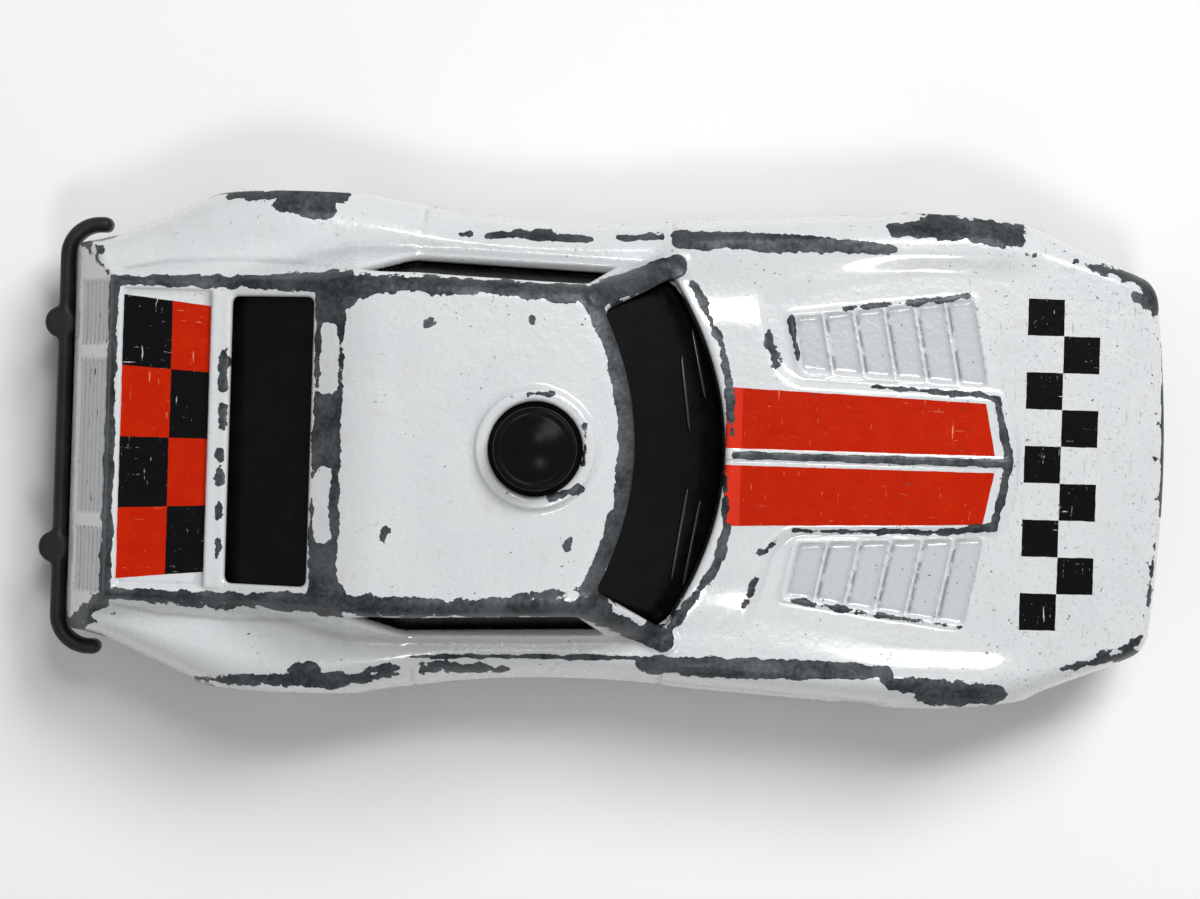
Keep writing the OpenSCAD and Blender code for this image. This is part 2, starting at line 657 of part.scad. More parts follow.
module grille() {
    front = nose_x - nose_bow - wall * 0.2;
    bar = grille_w / grille_n / 2;
    translate([front - wall * 1.6, -grille_w / 2, base_h])
        cube([wall * 0.8, grille_w, grille_top_h - base_h]);
    translate([front - wall, -grille_w / 2, base_h])
        cube([wall, grille_w, (grille_top_h - base_h) * 0.36]);
    for (i = [0 : grille_n - 1])
        translate([front - wall, (i - (grille_n - 1) / 2) * bar * 2 - bar / 2, base_h + base_t])
            cube([wall * 0.7, bar, (grille_top_h - base_h) * 0.9 - base_t]);
    for (y = [-0.43, -0.31, 0.31, 0.43])
        translate([front - wall, y * grille_w, mix(base_h, grille_top_h, 0.68)])
            rotate([0, 90, 0])
                cylinder(d = grille_w * 0.11, h = wall * 0.9);
}
module underside() {
    deep = base_t * 0.45;
    // gearbox tunnel, engine sump, tank and two pipes; the tunnel is the lowest of them
    translate([rear_axle_x + wheelbase * 0.12, -grille_w * 0.12, base_h - deep])
        cube([wheelbase * 0.58, grille_w * 0.24, deep + over]);
    translate([front_post_x + post_d, -grille_w * 0.17, base_h - deep * 0.8])
        cube([wheelbase * 0.2, grille_w * 0.34, deep * 0.8 + over]);
    translate([tail_x + wall * 1.5, -grille_w * 0.36, base_h - deep * 0.8])
        cube([wall * 2.6, grille_w * 0.72, deep * 0.8 + over]);
    for (side = [-1, 1])
        translate([rear_axle_x + wheelbase * 0.1, side * grille_w * 0.3, base_h])
            rotate([0, 90, 0])
                cylinder(d = deep * 1.6, h = wheelbase * 0.62);
}
module base_plate() {
    color(black)
        difference() {
            union() {
                base_floor();
                bearing(front_axle_x, front_wheel_d / 2, front_track / 2 - front_wheel_w);
                bearing(rear_axle_x, rear_wheel_d / 2, rear_track / 2 - rear_wheel_w);
                rear_bumper();
                grille();
                underside();
                for (x = [front_post_x, rear_post_x])
                    translate([x, 0, floor_h - over])
                        cylinder(d = post_d * 1.7, h = boss_top_h - floor_h + over);
            }
            wheel_wells();
            axle_bore(front_axle_x, front_wheel_d / 2);
            axle_bore(rear_axle_x, rear_wheel_d / 2);
            for (x = [front_post_x, rear_post_x])
                translate([x, 0, 0]) {
                    cylinder(d = rivet_d + gap * 2, h = belt_h);
                    cylinder(d = rivet_head_d + gap * 2, h = rivet_web_h);
                }
        }
}

module axle(x, h, track, w) {
    face = track / 2 - w * 0.16 + gap;
    head_t = axle_d * 0.35;
    color(steel)
        translate([x, 0, h])
            rotate([90, 0, 0]) {
                cylinder(d = axle_d, h = face * 2, center = true);
                for (side = [-1, 1])
                    rotate([90 - 90 * side, 0, 0])
                        translate([0, 0, face]) {
                            cylinder(d = head_d, h = head_t * 0.5);
                            translate([0, 0, head_t * 0.5])
                                cylinder(d1 = head_d, d2 = head_d * 0.62, h = head_t * 0.5);
                        }
            }
}
module front_axle() {
    axle(front_axle_x, front_wheel_d / 2, front_track, front_wheel_w);
}
module rear_axle() {
    axle(rear_axle_x, rear_wheel_d / 2, rear_track, rear_wheel_w);
}

// Tyre and rim are drawn with the outer face towards +Z
module tyre(d, w) {
    r = d / 2;
    b = r * rim_share;
    edge = w * 0.12;
    color(black)
        rotate_extrude($fn = 64)
            polygon([[b, -w / 2 + edge], [b + edge, -w / 2], [r - edge * 1.3, -w / 2],
                [r - edge * 0.4, -w / 2 + edge * 0.5], [r, -w / 2 + edge * 1.4], [r, w / 2 - edge * 1.4],
                [r - edge * 0.4, w / 2 - edge * 0.5], [r - edge * 1.3, w / 2], [b + edge, w / 2],
                [b, w / 2 - edge]]);
}
module rim(d, w) {
    b = d / 2 * rim_share;
    edge = w * 0.12;
    thick = b * 0.16;
    deep = w * 0.3;
    color(chrome)
        difference() {
            union() {
                rotate_extrude($fn = 64)
                    polygon([[0, -w / 2 + gap], [hub_d / 2, -w / 2 + gap], [hub_d / 2, -w * 0.1],
                        [b - thick, -w * 0.1], [b - thick, -w / 2 + edge], [b, -w / 2 + edge],
                        [b, w / 2 - edge], [b - thick, w / 2 - edge], [b - thick * 1.8, w * 0.14],
                        [hub_d * 0.6, w * 0.14], [hub_d * 0.5, w * 0.34], [0, w * 0.34]]);
                for (i = [0 : spoke_n - 1])
                    rotate([0, 0, i * 360 / spoke_n])
                        translate([0, 0, w * 0.1])
                            linear_extrude(w * 0.16)
                                polygon([[hub_d * 0.3, -b * 0.13], [b - thick * 0.6, -b * 0.19],
                                    [b - thick * 0.6, b * 0.19], [hub_d * 0.3, b * 0.13]]);
            }
            translate([0, 0, -w])
                cylinder(d = axle_d + spin_gap * 2, h = w * 2);
        }
}
module at_wheel(front, side) {
    track = front ? front_track : rear_track;
    w = front ? front_wheel_w : rear_wheel_w;
    d = front ? front_wheel_d : rear_wheel_d;
    translate([front ? front_axle_x : rear_axle_x, side * (track - w) / 2, d / 2])
        rotate([-90 * side, 0, 0])
            children();
}
module tyre_front_left() { at_wheel(true, 1) tyre(front_wheel_d, front_wheel_w); }
module rim_front_left() { at_wheel(true, 1) rim(front_wheel_d, front_wheel_w); }
module tyre_front_right() { at_wheel(true, -1) tyre(front_wheel_d, front_wheel_w); }
module rim_front_right() { at_wheel(true, -1) rim(front_wheel_d, front_wheel_w); }
module tyre_rear_left() { at_wheel(false, 1) tyre(rear_wheel_d, rear_wheel_w); }
module rim_rear_left() { at_wheel(false, 1) rim(rear_wheel_d, rear_wheel_w); }
module tyre_rear_right() { at_wheel(false, -1) tyre(rear_wheel_d, rear_wheel_w); }
module rim_rear_right() { at_wheel(false, -1) rim(rear_wheel_d, rear_wheel_w); }

body_shell();
window_insert();
interior_tub();
base_plate();
front_axle();
rear_axle();
tyre_front_left();
rim_front_left();
tyre_front_right();
rim_front_right();
tyre_rear_left();
rim_rear_left();
tyre_rear_right();
rim_rear_right();
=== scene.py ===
import json
import math

import bpy
import numpy as np
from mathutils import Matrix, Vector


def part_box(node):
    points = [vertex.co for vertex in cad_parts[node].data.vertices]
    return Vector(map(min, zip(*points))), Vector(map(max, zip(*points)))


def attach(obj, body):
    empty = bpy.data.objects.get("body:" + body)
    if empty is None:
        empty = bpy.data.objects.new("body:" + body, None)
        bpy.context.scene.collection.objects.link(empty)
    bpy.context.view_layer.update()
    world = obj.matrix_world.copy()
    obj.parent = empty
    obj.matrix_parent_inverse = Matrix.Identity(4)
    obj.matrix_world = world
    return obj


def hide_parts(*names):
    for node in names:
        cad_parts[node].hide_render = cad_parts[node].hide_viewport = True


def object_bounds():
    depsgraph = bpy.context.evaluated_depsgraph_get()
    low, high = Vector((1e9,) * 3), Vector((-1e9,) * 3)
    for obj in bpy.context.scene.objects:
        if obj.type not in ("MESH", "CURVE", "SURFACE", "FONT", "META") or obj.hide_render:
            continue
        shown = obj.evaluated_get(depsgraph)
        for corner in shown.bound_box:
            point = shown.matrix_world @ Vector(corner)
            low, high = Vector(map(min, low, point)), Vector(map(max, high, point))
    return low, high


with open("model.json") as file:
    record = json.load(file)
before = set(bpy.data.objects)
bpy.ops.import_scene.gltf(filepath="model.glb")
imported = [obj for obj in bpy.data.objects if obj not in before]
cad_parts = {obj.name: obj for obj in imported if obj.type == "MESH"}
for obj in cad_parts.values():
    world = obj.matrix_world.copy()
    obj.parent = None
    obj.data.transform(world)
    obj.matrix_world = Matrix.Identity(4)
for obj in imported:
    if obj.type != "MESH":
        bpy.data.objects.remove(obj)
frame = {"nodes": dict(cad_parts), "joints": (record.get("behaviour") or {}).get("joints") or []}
cad_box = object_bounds()

# Sizes in mm. The car stands on z = 0 with its nose along +x and its left side along +y.
# A pair that is named as a fade, start or end holds where it begins and how long it runs. Three values of
# a ridge or groove are its rise or depth, its place and its half width.
MM = 0.001
JOINTS = {joint["name"]: np.array(joint["pos_m"]) / MM for joint in frame["joints"]}
BODY_LOW, BODY_HIGH = (np.array(corner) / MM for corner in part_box("body_shell"))
NOSE_X, TAIL_X = BODY_HIGH[0], BODY_LOW[0]
BODY_L = NOSE_X - TAIL_X
BODY_HALF, SIDE_LIMIT = 16.5, BODY_HIGH[1]
AXLES = (JOINTS["front_axle_spin"], JOINTS["rear_axle_spin"])
BELT_H, COWL_H, DECK_H, ROOF_H, SILL_H = 12.8, 13.0, 14.5, 19.8, 3.8
COWL_X, LIP_X = 8.2, -24.4
WALL, CABIN_WALL, GAP, GLASS_T = 1.1, 0.7, 0.15, 0.9
TRACK_IN, ARCH_GAP, BORE_R = 10.95, 0.6, 0.65
FLOOR_LOW, FLOOR_TOP = 2.8, 4.2
POSTS_X, POST_LOW = (14.96, -28.03), 5.04
FAR, TINY = 1e3, 1e-4

# Lines of the lower body, tail to nose. Each row: share of the length, half width at the widest and
# at the shoulder (shares of half the width), height on the centreline, at the shoulder and where the
# side is widest (shares of the belt height).
LINES = np.array([
    (0.000, 0.765, 0.690, 0.960, 0.915, 0.60), (0.039, 0.806, 0.710, 0.985, 0.930, 0.60),
    (0.075, 0.872, 0.745, 1.000, 0.960, 0.62), (0.135, 0.968, 0.812, 1.005, 1.000, 0.74),
    (0.203, 1.000, 0.850, 1.010, 1.016, 0.86), (0.278, 0.985, 0.838, 1.010, 1.010, 0.74),
    (0.349, 0.938, 0.800, 1.000, 0.994, 0.62), (0.431, 0.913, 0.784, 1.000, 0.986, 0.58),
    (0.514, 0.915, 0.788, 1.008, 0.984, 0.58), (0.578, 0.932, 0.825, 1.020, 0.980, 0.62),
    (0.669, 0.954, 0.842, 1.020, 0.973, 0.66), (0.760, 0.976, 0.848, 0.998, 0.962, 0.72),
    (0.814, 0.985, 0.848, 0.978, 0.950, 0.74), (0.869, 0.948, 0.820, 0.948, 0.922, 0.68),
    (0.924, 0.866, 0.764, 0.908, 0.885, 0.62), (0.976, 0.780, 0.700, 0.862, 0.838, 0.60),
    (1.000, 0.735, 0.655, 0.815, 0.790, 0.60)])
WIDE, SHOULDER, CENTRE_H, SHOULDER_H, WIDE_H = range(1, 6)


# Fields: a negative value is inside, and near the surface the value is about the distance in mm.
def mix(a, b, t):
    return a + (b - a) * t


def clamp(t):
    return np.clip(t, 0.0, 1.0)


def smooth(t):
    t = clamp(t)
    return t * t * (3 - 2 * t)


def ramp(t, start, run):
    """0 before the start and 1 after the run, with a smooth rise."""
    return smooth((t - start) / run)


def fade(t, start, run):
    return 1 - ramp(t, start, run)


def soft_max(a, b, r):
    h = np.maximum(r - np.abs(a - b), 0)
    return np.maximum(a, b) + h * h / (4 * r)


def soft_min(a, b, r):
    return -soft_max(-a, -b, r)


def meet(first, *others):
    """Inside where all of the fields are."""
    for other in others:
        first = np.maximum(first, other)
    return first


def join(first, *others):
    """Inside where any of the fields is."""
    for other in others:
        first = np.minimum(first, other)
    return first


def ridge(t, rise, at, half):
    """Rounded ridge, given by its rise, place and half width."""
    return rise * np.exp(-((t - at) / half) ** 2)


def slab(t, low, high):
    """Distance outside the stretch from low to high."""
    return np.abs(t - (low + high) / 2) - (high - low) / 2


def block(x, y, z, low, high, r=0.2):
    """Box with rounded edges between two corners."""
    out = [slab(c, a + r, b - r) for c, a, b in zip((x, y, z), low, high)]
    return np.sqrt(sum(np.maximum(o, 0) ** 2 for o in out)) + np.minimum(meet(*out), 0) - r


def disc(p, q, t, radius, low, high, r=0.1):
    """Round bar along t with rounded edges; p and q are measured from its axis."""
    a = np.sqrt(p * p + q * q) - radius + r
    b = slab(t, low, high) + r
    return np.sqrt(np.maximum(a, 0) ** 2 + np.maximum(b, 0) ** 2) + np.minimum(np.maximum(a, b), 0) - r


def edge_distance(x, y, p, q):
    """Distance from the line through p and q, positive on its right."""
    dx, dy = q[0] - p[0], q[1] - p[1]
    return ((x - p[0]) * dy - (y - p[1]) * dx) / math.hypot(dx, dy)


def segment_share(x, y, p, q):
    """Share of the way from p to q that lies nearest to a point."""
    dx, dy = q[0] - p[0], q[1] - p[1]
    return clamp(((x - p[0]) * dx + (y - p[1]) * dy) / (dx * dx + dy * dy))


def segment_distance(x, y, p, q):
    t = segment_share(x, y, p, q)
    return np.hypot(x - mix(p[0], q[0], t), y - mix(p[1], q[1], t))


def length_share(x):
    return clamp((x - TAIL_X) / BODY_L)


def line_at(column, s):
    """Smooth curve through a column of the lines, at share s of the length."""
    at, v = LINES[:, 0], LINES[:, column]
    ahead = np.minimum(np.arange(len(at)) + 1, len(at) - 1)
    behind = np.maximum(np.arange(len(at)) - 1, 0)
    slope = (v[ahead] - v[behind]) / (at[ahead] - at[behind])
    i = np.clip(np.searchsorted(at, s, side="right") - 1, 0, len(at) - 2)
    h = at[i + 1] - at[i]
    u = (s - at[i]) / h
    w = 1 - u
    value = v[i] * (1 + 2 * u) * w * w + v[i + 1] * u * u * (3 - 2 * u)
    return value + h * u * w * (slope[i] * w - slope[i + 1] * u)


SCREEN_CURVE = 3.5 / 11.2 ** 2


def screen_line(x, y):
    """Place along the car, measured where the sweep of the windscreen meets the centreline."""
    return x + SCREEN_CURVE * y * y


# Hood: corners of a louvre panel in plan (rear inner, rear outer, front outer, front inner), its slats and
# bead, the raised centre with its spine, the step and lip of the cowl, and the crests of the fenders
LOUVRE = ((12.9, 5.6), (12.2, 9.05), (24.1, 10.6), (25.2, 4.95))
LOUVRE_N, LOUVRE_DEEP, LOUVRE_R, LOUVRE_FADE = 6, 0.2, 0.5, (-0.14, 0.28)
SLAT_RIDGE, SLAT_LEAN = (0.24, 0, 0.15), 0.1
BEAD_RIDGE, BEAD_LOSS, BEAD_FADE = (0.14, 0.12, 0.22), 0.7, (22.5, 2)
BULGE_RISE, BULGE_SLOPE, BULGE_R, BULGE_FADE = 0.38, 0.85, 0.7, (8.2, 3.6)
BULGE_TIP_X, BULGE_TIP_BOW, BULGE_REAR, BULGE_FRONT = 26.5, 0.05, 4.55, 4.0
STEP_X, STEP_Y, STEP_RUN, STEP_R = (11.0, 9.4), 5, 6, 2.0
SPINE_RISE, SPINE_FADE, SPINE_START, SPINE_END = 0.13, (0.2, 0.18), (COWL_X - 1, 0.5), (BULGE_TIP_X, 0.4)
COWL_RIDGE, COWL_RIDGE_FADE = (0.12, 0.3, 0.32), (11, 1.2)
CREST_RISE, CREST_IN, CREST_OUT, CREST_SPREAD = 0.5, (9.4, 12.0), 13.7, 13
CREST_START, CREST_END = (3, 3), (25, 4)


def louvre_edges(x, a):
    """Distances outside the rear, outer, front and inner edges of a louvre panel."""
    return [edge_distance(x, a, LOUVRE[i], LOUVRE[(i + 1) % 4]) * -1 for i in range(4)]


def louvre_places(edges):
    """Place along a panel, counted in slats, and distance ahead of the nearest slat."""
    rear, _, front, _ = edges
    along = clamp(rear / (rear + front)) * LOUVRE_N
    return along, (along - np.round(along)) * (-(rear + front) / LOUVRE_N)


def hood_relief(x, a):
    """Height of the hood's relief, over x and |y|."""
    half = mix(BULGE_REAR, BULGE_FRONT, clamp((x - COWL_X) / (BULGE_TIP_X - COWL_X)))
    panel = soft_max(a - half, x - BULGE_TIP_X + BULGE_TIP_BOW * a * a, BULGE_R)
    panel = soft_min(panel, x - mix(*STEP_X, clamp((a - STEP_Y) / STEP_RUN)), STEP_R)
    rise = BULGE_RISE * fade(panel, 0, BULGE_SLOPE) * fade(a, *BULGE_FADE)
    rise = rise + SPINE_RISE * fade(a, *SPINE_FADE) * ramp(x, *SPINE_START) * fade(x, *SPINE_END)
    edges = louvre_edges(x, a)
    rear, outer, front, inner = edges
    outside = soft_max(soft_max(rear, outer, LOUVRE_R), soft_max(front, inner, LOUVRE_R), LOUVRE_R)
    along, to_slat = louvre_places(edges)
    slats = ridge(to_slat, *SLAT_RIDGE) + SLAT_LEAN * (along - np.floor(along))
    bead = ridge(outside, *BEAD_RIDGE) * (1 - BEAD_LOSS * ramp(x, *BEAD_FADE))
    rise = rise + fade(outside, *LOUVRE_FADE) * (slats - LOUVRE_DEEP) + bead
    rise = rise + ridge(screen_line(x, a) - COWL_X, *COWL_RIDGE) * fade(a, *COWL_RIDGE_FADE)
    foot = mix(*CREST_IN, ramp(x, COWL_X, CREST_SPREAD))
    crest = ramp(a, foot, CREST_OUT - foot) * ramp(x, *CREST_START) * fade(x, *CREST_END)
    return rise + CREST_RISE * crest


# Lower body: nose, sills, wheel arch lips, gaps of the doors (place at half height and lean) and side crease
NOSE_BOW, NOSE_BOW_START, NOSE_R = 0.9, 0.8, 0.9
SILL_TUCK, SIDE_BLEND = 0.4, 1.2
ARCH_RIDGE, SIDE_RIDGE = (0.16, 0.3, 0.45), (0.12, 9.6, 0.5)
SIDE_RIDGE_START, SIDE_RIDGE_END = (-13, 1.5), (15.5, 1.5)
DOOR_FRONT, DOOR_REAR, DOOR_MIDDLE_H, DOOR_LOW_H = (4.3, 0.03), (-11.6, -0.1), 9, 5.3
DOOR_GAP_HALF, DOOR_GAP_DEEP, DOOR_LOW_SOFT, DOOR_END_SOFT = 0.12, 0.16, 0.1, 0.2


def body_section(x, y):
    """Half widths at the widest and at the shoulder, three heights, and how far the nose bows back."""
    s = length_share(x)
    bowed = clamp((s - NOSE_BOW_START) / (1 - NOSE_BOW_START)) ** 2
    bow = NOSE_BOW * bowed * (y / (BODY_HALF * line_at(WIDE, s))) ** 2
    s = clamp(s + bow / BODY_L)
    halves = (BODY_HALF * line_at(column, s) for column in (WIDE, SHOULDER))
    heights = (BELT_H * line_at(column, s) for column in (CENTRE_H, SHOULDER_H, WIDE_H))
    return (*halves, *heights, bow)


def outside_arch(x, z, axle):
    """Distance outside the arch of a wheel."""
    return np.hypot(x - axle[0], z - axle[2]) - axle[2] - ARCH_GAP


def side_relief(x, z):
    """Wheel arch lips, door gaps and crease on the sides."""
    lips = sum(ridge(outside_arch(x, z, axle), *ARCH_RIDGE) for axle in AXLES)
    upright = [ridge(x - (z - DOOR_MIDDLE_H) * lean, DOOR_GAP_DEEP, at, DOOR_GAP_HALF)
               for at, lean in (DOOR_FRONT, DOOR_REAR)]
    gap = np.maximum(*upright) * ramp(z, DOOR_LOW_H - DOOR_LOW_SOFT, DOOR_LOW_SOFT)
    inside = ramp(x, DOOR_REAR[0], DOOR_END_SOFT) * fade(x, DOOR_FRONT[0] - DOOR_END_SOFT, DOOR_END_SOFT)
    gap = np.maximum(gap, ridge(z, DOOR_GAP_DEEP, DOOR_LOW_H, DOOR_GAP_HALF) * inside)
    return lips - gap + ridge(z, *SIDE_RIDGE) * ramp(x, *SIDE_RIDGE_START) * fade(x, *SIDE_RIDGE_END)


def lower_body(x, y, z, detail=True):
    a = np.abs(y)
    wide, shoulder, centre_h, shoulder_h, wide_h, bow = body_section(x, a)
    top = mix(centre_h, shoulder_h, clamp(a / shoulder) ** 2)
    if detail:
        top = top + hood_relief(x, a)
    u = np.maximum(a - shoulder, 0) / (wide - shoulder)
    v = np.maximum(z - wide_h, 0) / (top - wide_h)
    r = np.sqrt(u * u + v * v) + TINY
    steep = np.sqrt((u / (r * (wide - shoulder))) ** 2 + (v / (r * (top - wide_h))) ** 2) + TINY
    tucked = wide - SILL_TUCK * clamp((wide_h - z) / (wide_h - SILL_H))
    f = np.where(z > wide_h, (r - 1) / steep, a - tucked)
    if detail:
        f = f - side_relief(x, z) * ramp(a, shoulder, SIDE_BLEND)
    return soft_max(f, x + bow - NOSE_X, NOSE_R)


# Rear deck with its tray and lip, and the tail with three ribbed fields
RIDGE_HALF, DECK_RUN, TAIL_RUN, DECK_RUN_START = 10.25, 0.85, 0.4, (-32, 8)
DECK_R, DECK_SINK, DECK_FRONT_X, DECK_FRONT_R = 0.35, 0.6, LIP_X + 3.9, 0.2
TRAY_X, TRAY_HALF, TRAY_DEEP, TRAY_FADE = (-31.0, LIP_X - 0.95), 9.55, 0.25, (-0.1, 0.25)
DECK_LIP_X, DECK_LIP_HALF, DECK_LIP_RISE, DECK_LIP_FADE = (LIP_X - 0.85, LIP_X + 0.15), 9.5, 0.2, (0, 0.25)
TAIL_LOW_H, TAIL_LEAN, TAIL_R = 7.6, 3.4, 0.3
TAIL_H = DECK_H - TAIL_LOW_H
FIELD_MIDDLE_SHARE, FIELD_HALF_H, FIELD_HALF, SIDE_FIELD_Y = 0.53, 2.45, 5.0, (6.05, 10.15)
FIELD_DEEP, FIELD_FADE, RIB_RISE, TAIL_RIBS = 0.13, (-0.1, 0.2), 0.075, 9.8


def deck_block(x, y, z, detail=True):
    a = np.abs(y)
    top = DECK_H
    if detail:
        tray = meet(slab(x, *TRAY_X), a - TRAY_HALF)
        lip = meet(slab(x, *DECK_LIP_X), a - DECK_LIP_HALF)
        top = top - TRAY_DEEP * fade(tray, *TRAY_FADE) + DECK_LIP_RISE * fade(lip, *DECK_LIP_FADE)
    run = mix(TAIL_RUN, DECK_RUN, ramp(x, *DECK_RUN_START))
    slope = (a - RIDGE_HALF - (DECK_H - z) * run) / np.sqrt(1 + run * run)
    low = BELT_H * line_at(SHOULDER_H, length_share(x)) - DECK_SINK
    f = soft_max(soft_max(slope, z - top, DECK_R), x - DECK_FRONT_X, DECK_FRONT_R)
    return meet(f, low - z)


def tail_fields(a, z):
    """Distance outside the three ribbed fields, over |y| and height."""
    tall = np.abs((z - TAIL_LOW_H) / TAIL_H - FIELD_MIDDLE_SHARE) * TAIL_H - FIELD_HALF_H
    return meet(join(a - FIELD_HALF, slab(a, *SIDE_FIELD_Y)), tall)


def tail_side(x, y, z, detail=True):
    """Distance behind the tail: upright below, and leaning forward above."""
    lean = TAIL_LEAN / TAIL_H
    slanted = (TAIL_X + (z - TAIL_LOW_H) * lean - x) / math.hypot(1, lean)
    if detail:
        ribs = np.sin((z - TAIL_LOW_H) / TAIL_H * math.tau * TAIL_RIBS)
        slanted = slanted + fade(tail_fields(np.abs(y), z), *FIELD_FADE) * (FIELD_DEEP - RIB_RISE * ribs)
    return soft_max(slanted, TAIL_X - x, TAIL_R)


# Cabin: slopes of its sides, roof, collar of the beacon, bars on the pillars and creases beside the deck
SCREEN_RUN, REAR_RUN, SIDE_RUN = (math.tan(math.radians(d)) for d in (44, 60, 16.4))
BELT_HALF, ROOF_BEND_X, ROOF_BEND_MIN = 12.6, -16.0, 0.4
CABIN_WIDEST_X, CABIN_TAPER, CABIN_LOW, CAVITY_LOW = -12.0, 0.04, 12.2, 9.5
CABIN_R, CABIN_REAR_R = 0.9, 0.35
BEACON_X, BEACON_HOLE_R, BEACON_R = -4.1, 3.0, 2.65
ROOF_BOW, ROOF_CROWN, ROOF_HALF, ROOF_HIGH_X = 0.22, 0.13, 9, BEACON_X - 3
COLLAR_R, COLLAR_RISE, COLLAR_FLARE, COLLAR_SINK = 3.75, 0.35, 0.35, 0.5
PILLAR, PILLAR_RISE, PILLAR_FADE = ((-0.3, 9.95), (4.6, 12.15)), 0.22, (0.7, 0.3)
PILLAR_START, CREASE_START = (COWL_H - 1.5, 0.5), (BELT_H - 2, 0.5)
CREASE = ((-31.3, 10.9), (-28.3, 11.5), (-23.2, 11.75), (-17.8, 11.45))
CREASE_GROOVE = (0.1, 0, 0.14)
DECK_BLEND, TAIL_BLEND, CABIN_BLEND, COLLAR_BLEND, SILL_BLEND = 0.5, 0.35, 0.45, 0.3, 0.3


def cabin(x, y, z, low=CABIN_LOW):
    a = np.abs(y)
    front = screen_line(x, a) - COWL_X + (z - COWL_H) * SCREEN_RUN
    front = front / np.sqrt(1 + SCREEN_RUN ** 2 + (2 * SCREEN_CURVE * a) ** 2)
    foot = LIP_X + (z - DECK_H) * REAR_RUN
    rear = (foot - x) / math.hypot(1, REAR_RUN)
    straight = BELT_HALF - (z - BELT_H) * SIDE_RUN - CABIN_TAPER * np.maximum(x - CABIN_WIDEST_X, 0)
    drawn = clamp((x - foot) / np.maximum(ROOF_BEND_X - foot, ROOF_BEND_MIN))
    side = (a - mix(np.minimum(RIDGE_HALF, straight), straight, drawn)) / math.hypot(1, SIDE_RUN)
    roof = z - ROOF_H + ROOF_BOW * ((x - ROOF_HIGH_X) / ROOF_HALF) ** 2 + ROOF_CROWN * (a / ROOF_HALF) ** 2
    f = soft_max(soft_max(rear, side, CABIN_REAR_R), roof, CABIN_R)
    return meet(soft_max(f, front, CABIN_R), low - z)


def pillar_relief(x, a):
    """Height of the bar that runs down each windscreen pillar onto the cowl."""
    return PILLAR_RISE * fade(segment_distance(x, a, *PILLAR), *PILLAR_FADE)


def crease_relief(x, a):
    """Depth of the fine crease beside the rear deck."""
    near = join(*(segment_distance(x, a, p, q) for p, q in zip(CREASE, CREASE[1:])))
    return ridge(near, *CREASE_GROOVE)


def collar(x, y, z):
    top = ROOF_H + COLLAR_RISE
    ring = np.hypot(x - BEACON_X, y) - COLLAR_R - (top - z) * COLLAR_FLARE
    return meet(ring, z - top, ROOF_H - COLLAR_SINK - z)


def outer_skin(x, y, z):
    a = np.abs(y)
    low = soft_min(lower_body(x, y, z), deck_block(x, y, z), DECK_BLEND)
    low = soft_max(low, tail_side(x, y, z), TAIL_BLEND)
    f = soft_min(low, cabin(x, y, z), CABIN_BLEND) - pillar_relief(x, a) * ramp(z, *PILLAR_START)
    f = f + crease_relief(x, a) * ramp(z, *CREASE_START)
    f = soft_min(f, collar(x, y, z), COLLAR_BLEND)
    return meet(soft_max(f, SILL_H - z, SILL_BLEND), a - SIDE_LIMIT)


def cavity(x, y, z):
    low = join(lower_body(x, y, z, False), deck_block(x, y, z, False))
    low = meet(low, tail_side(x, y, z, False))
    return join(low + WALL, cabin(x, y, z, CAVITY_LOW) + CABIN_WALL)


# Openings in the shell and rivet posts. The windscreen's top and foot are measured along screen_line; a
# box is given by its end along the car, half width and top.
SCREEN_TOP, SCREEN_FOOT, SCREEN_TOP_HALF, SCREEN_FOOT_HALF, SCREEN_SIDE_COS = 2.2, 8.1, 8.9, 11.45, 0.9
SCREEN_LOW, REAR_GLASS_LOW, BEACON_HOLE_LOW = COWL_H - 0.6, DECK_H - 1.2, ROOF_H - 2
REAR_GLASS_X, REAR_GLASS_HALF = (-23.95, -18.5), 9.25
SIDE_GLASS = ((-12.4, 12.95), (0.7, 13.05), (-1.2, 18.0), (-14.8, 18.0), (-16.0, 17.2))
SIDE_GLASS_IN, SIDE_SILL_SLOPE, SIDE_SILL_IN = 9.5, 0.6, 0.3
GLASS_EDGE_R, GLASS_CORNER_R, OPENING_R = 0.3, 0.5, 0.25
GRILLE_HOLE, NOTCH = (33.7, 9.55, 9.05), (-30.6, 9.86, 4.35)
POST_R, POST_TOP, FRONT_POST_TOP = 1.7, 14.0, 12.6
PIN_R, PIN_LOW, PIN_TOP, PIN_EDGE = 1.1, 3.2, 5.6, 0.05
RIVET_LOW, RIVET_TOP, RIVET_FLARE = 2.94, 3.57, 1.08


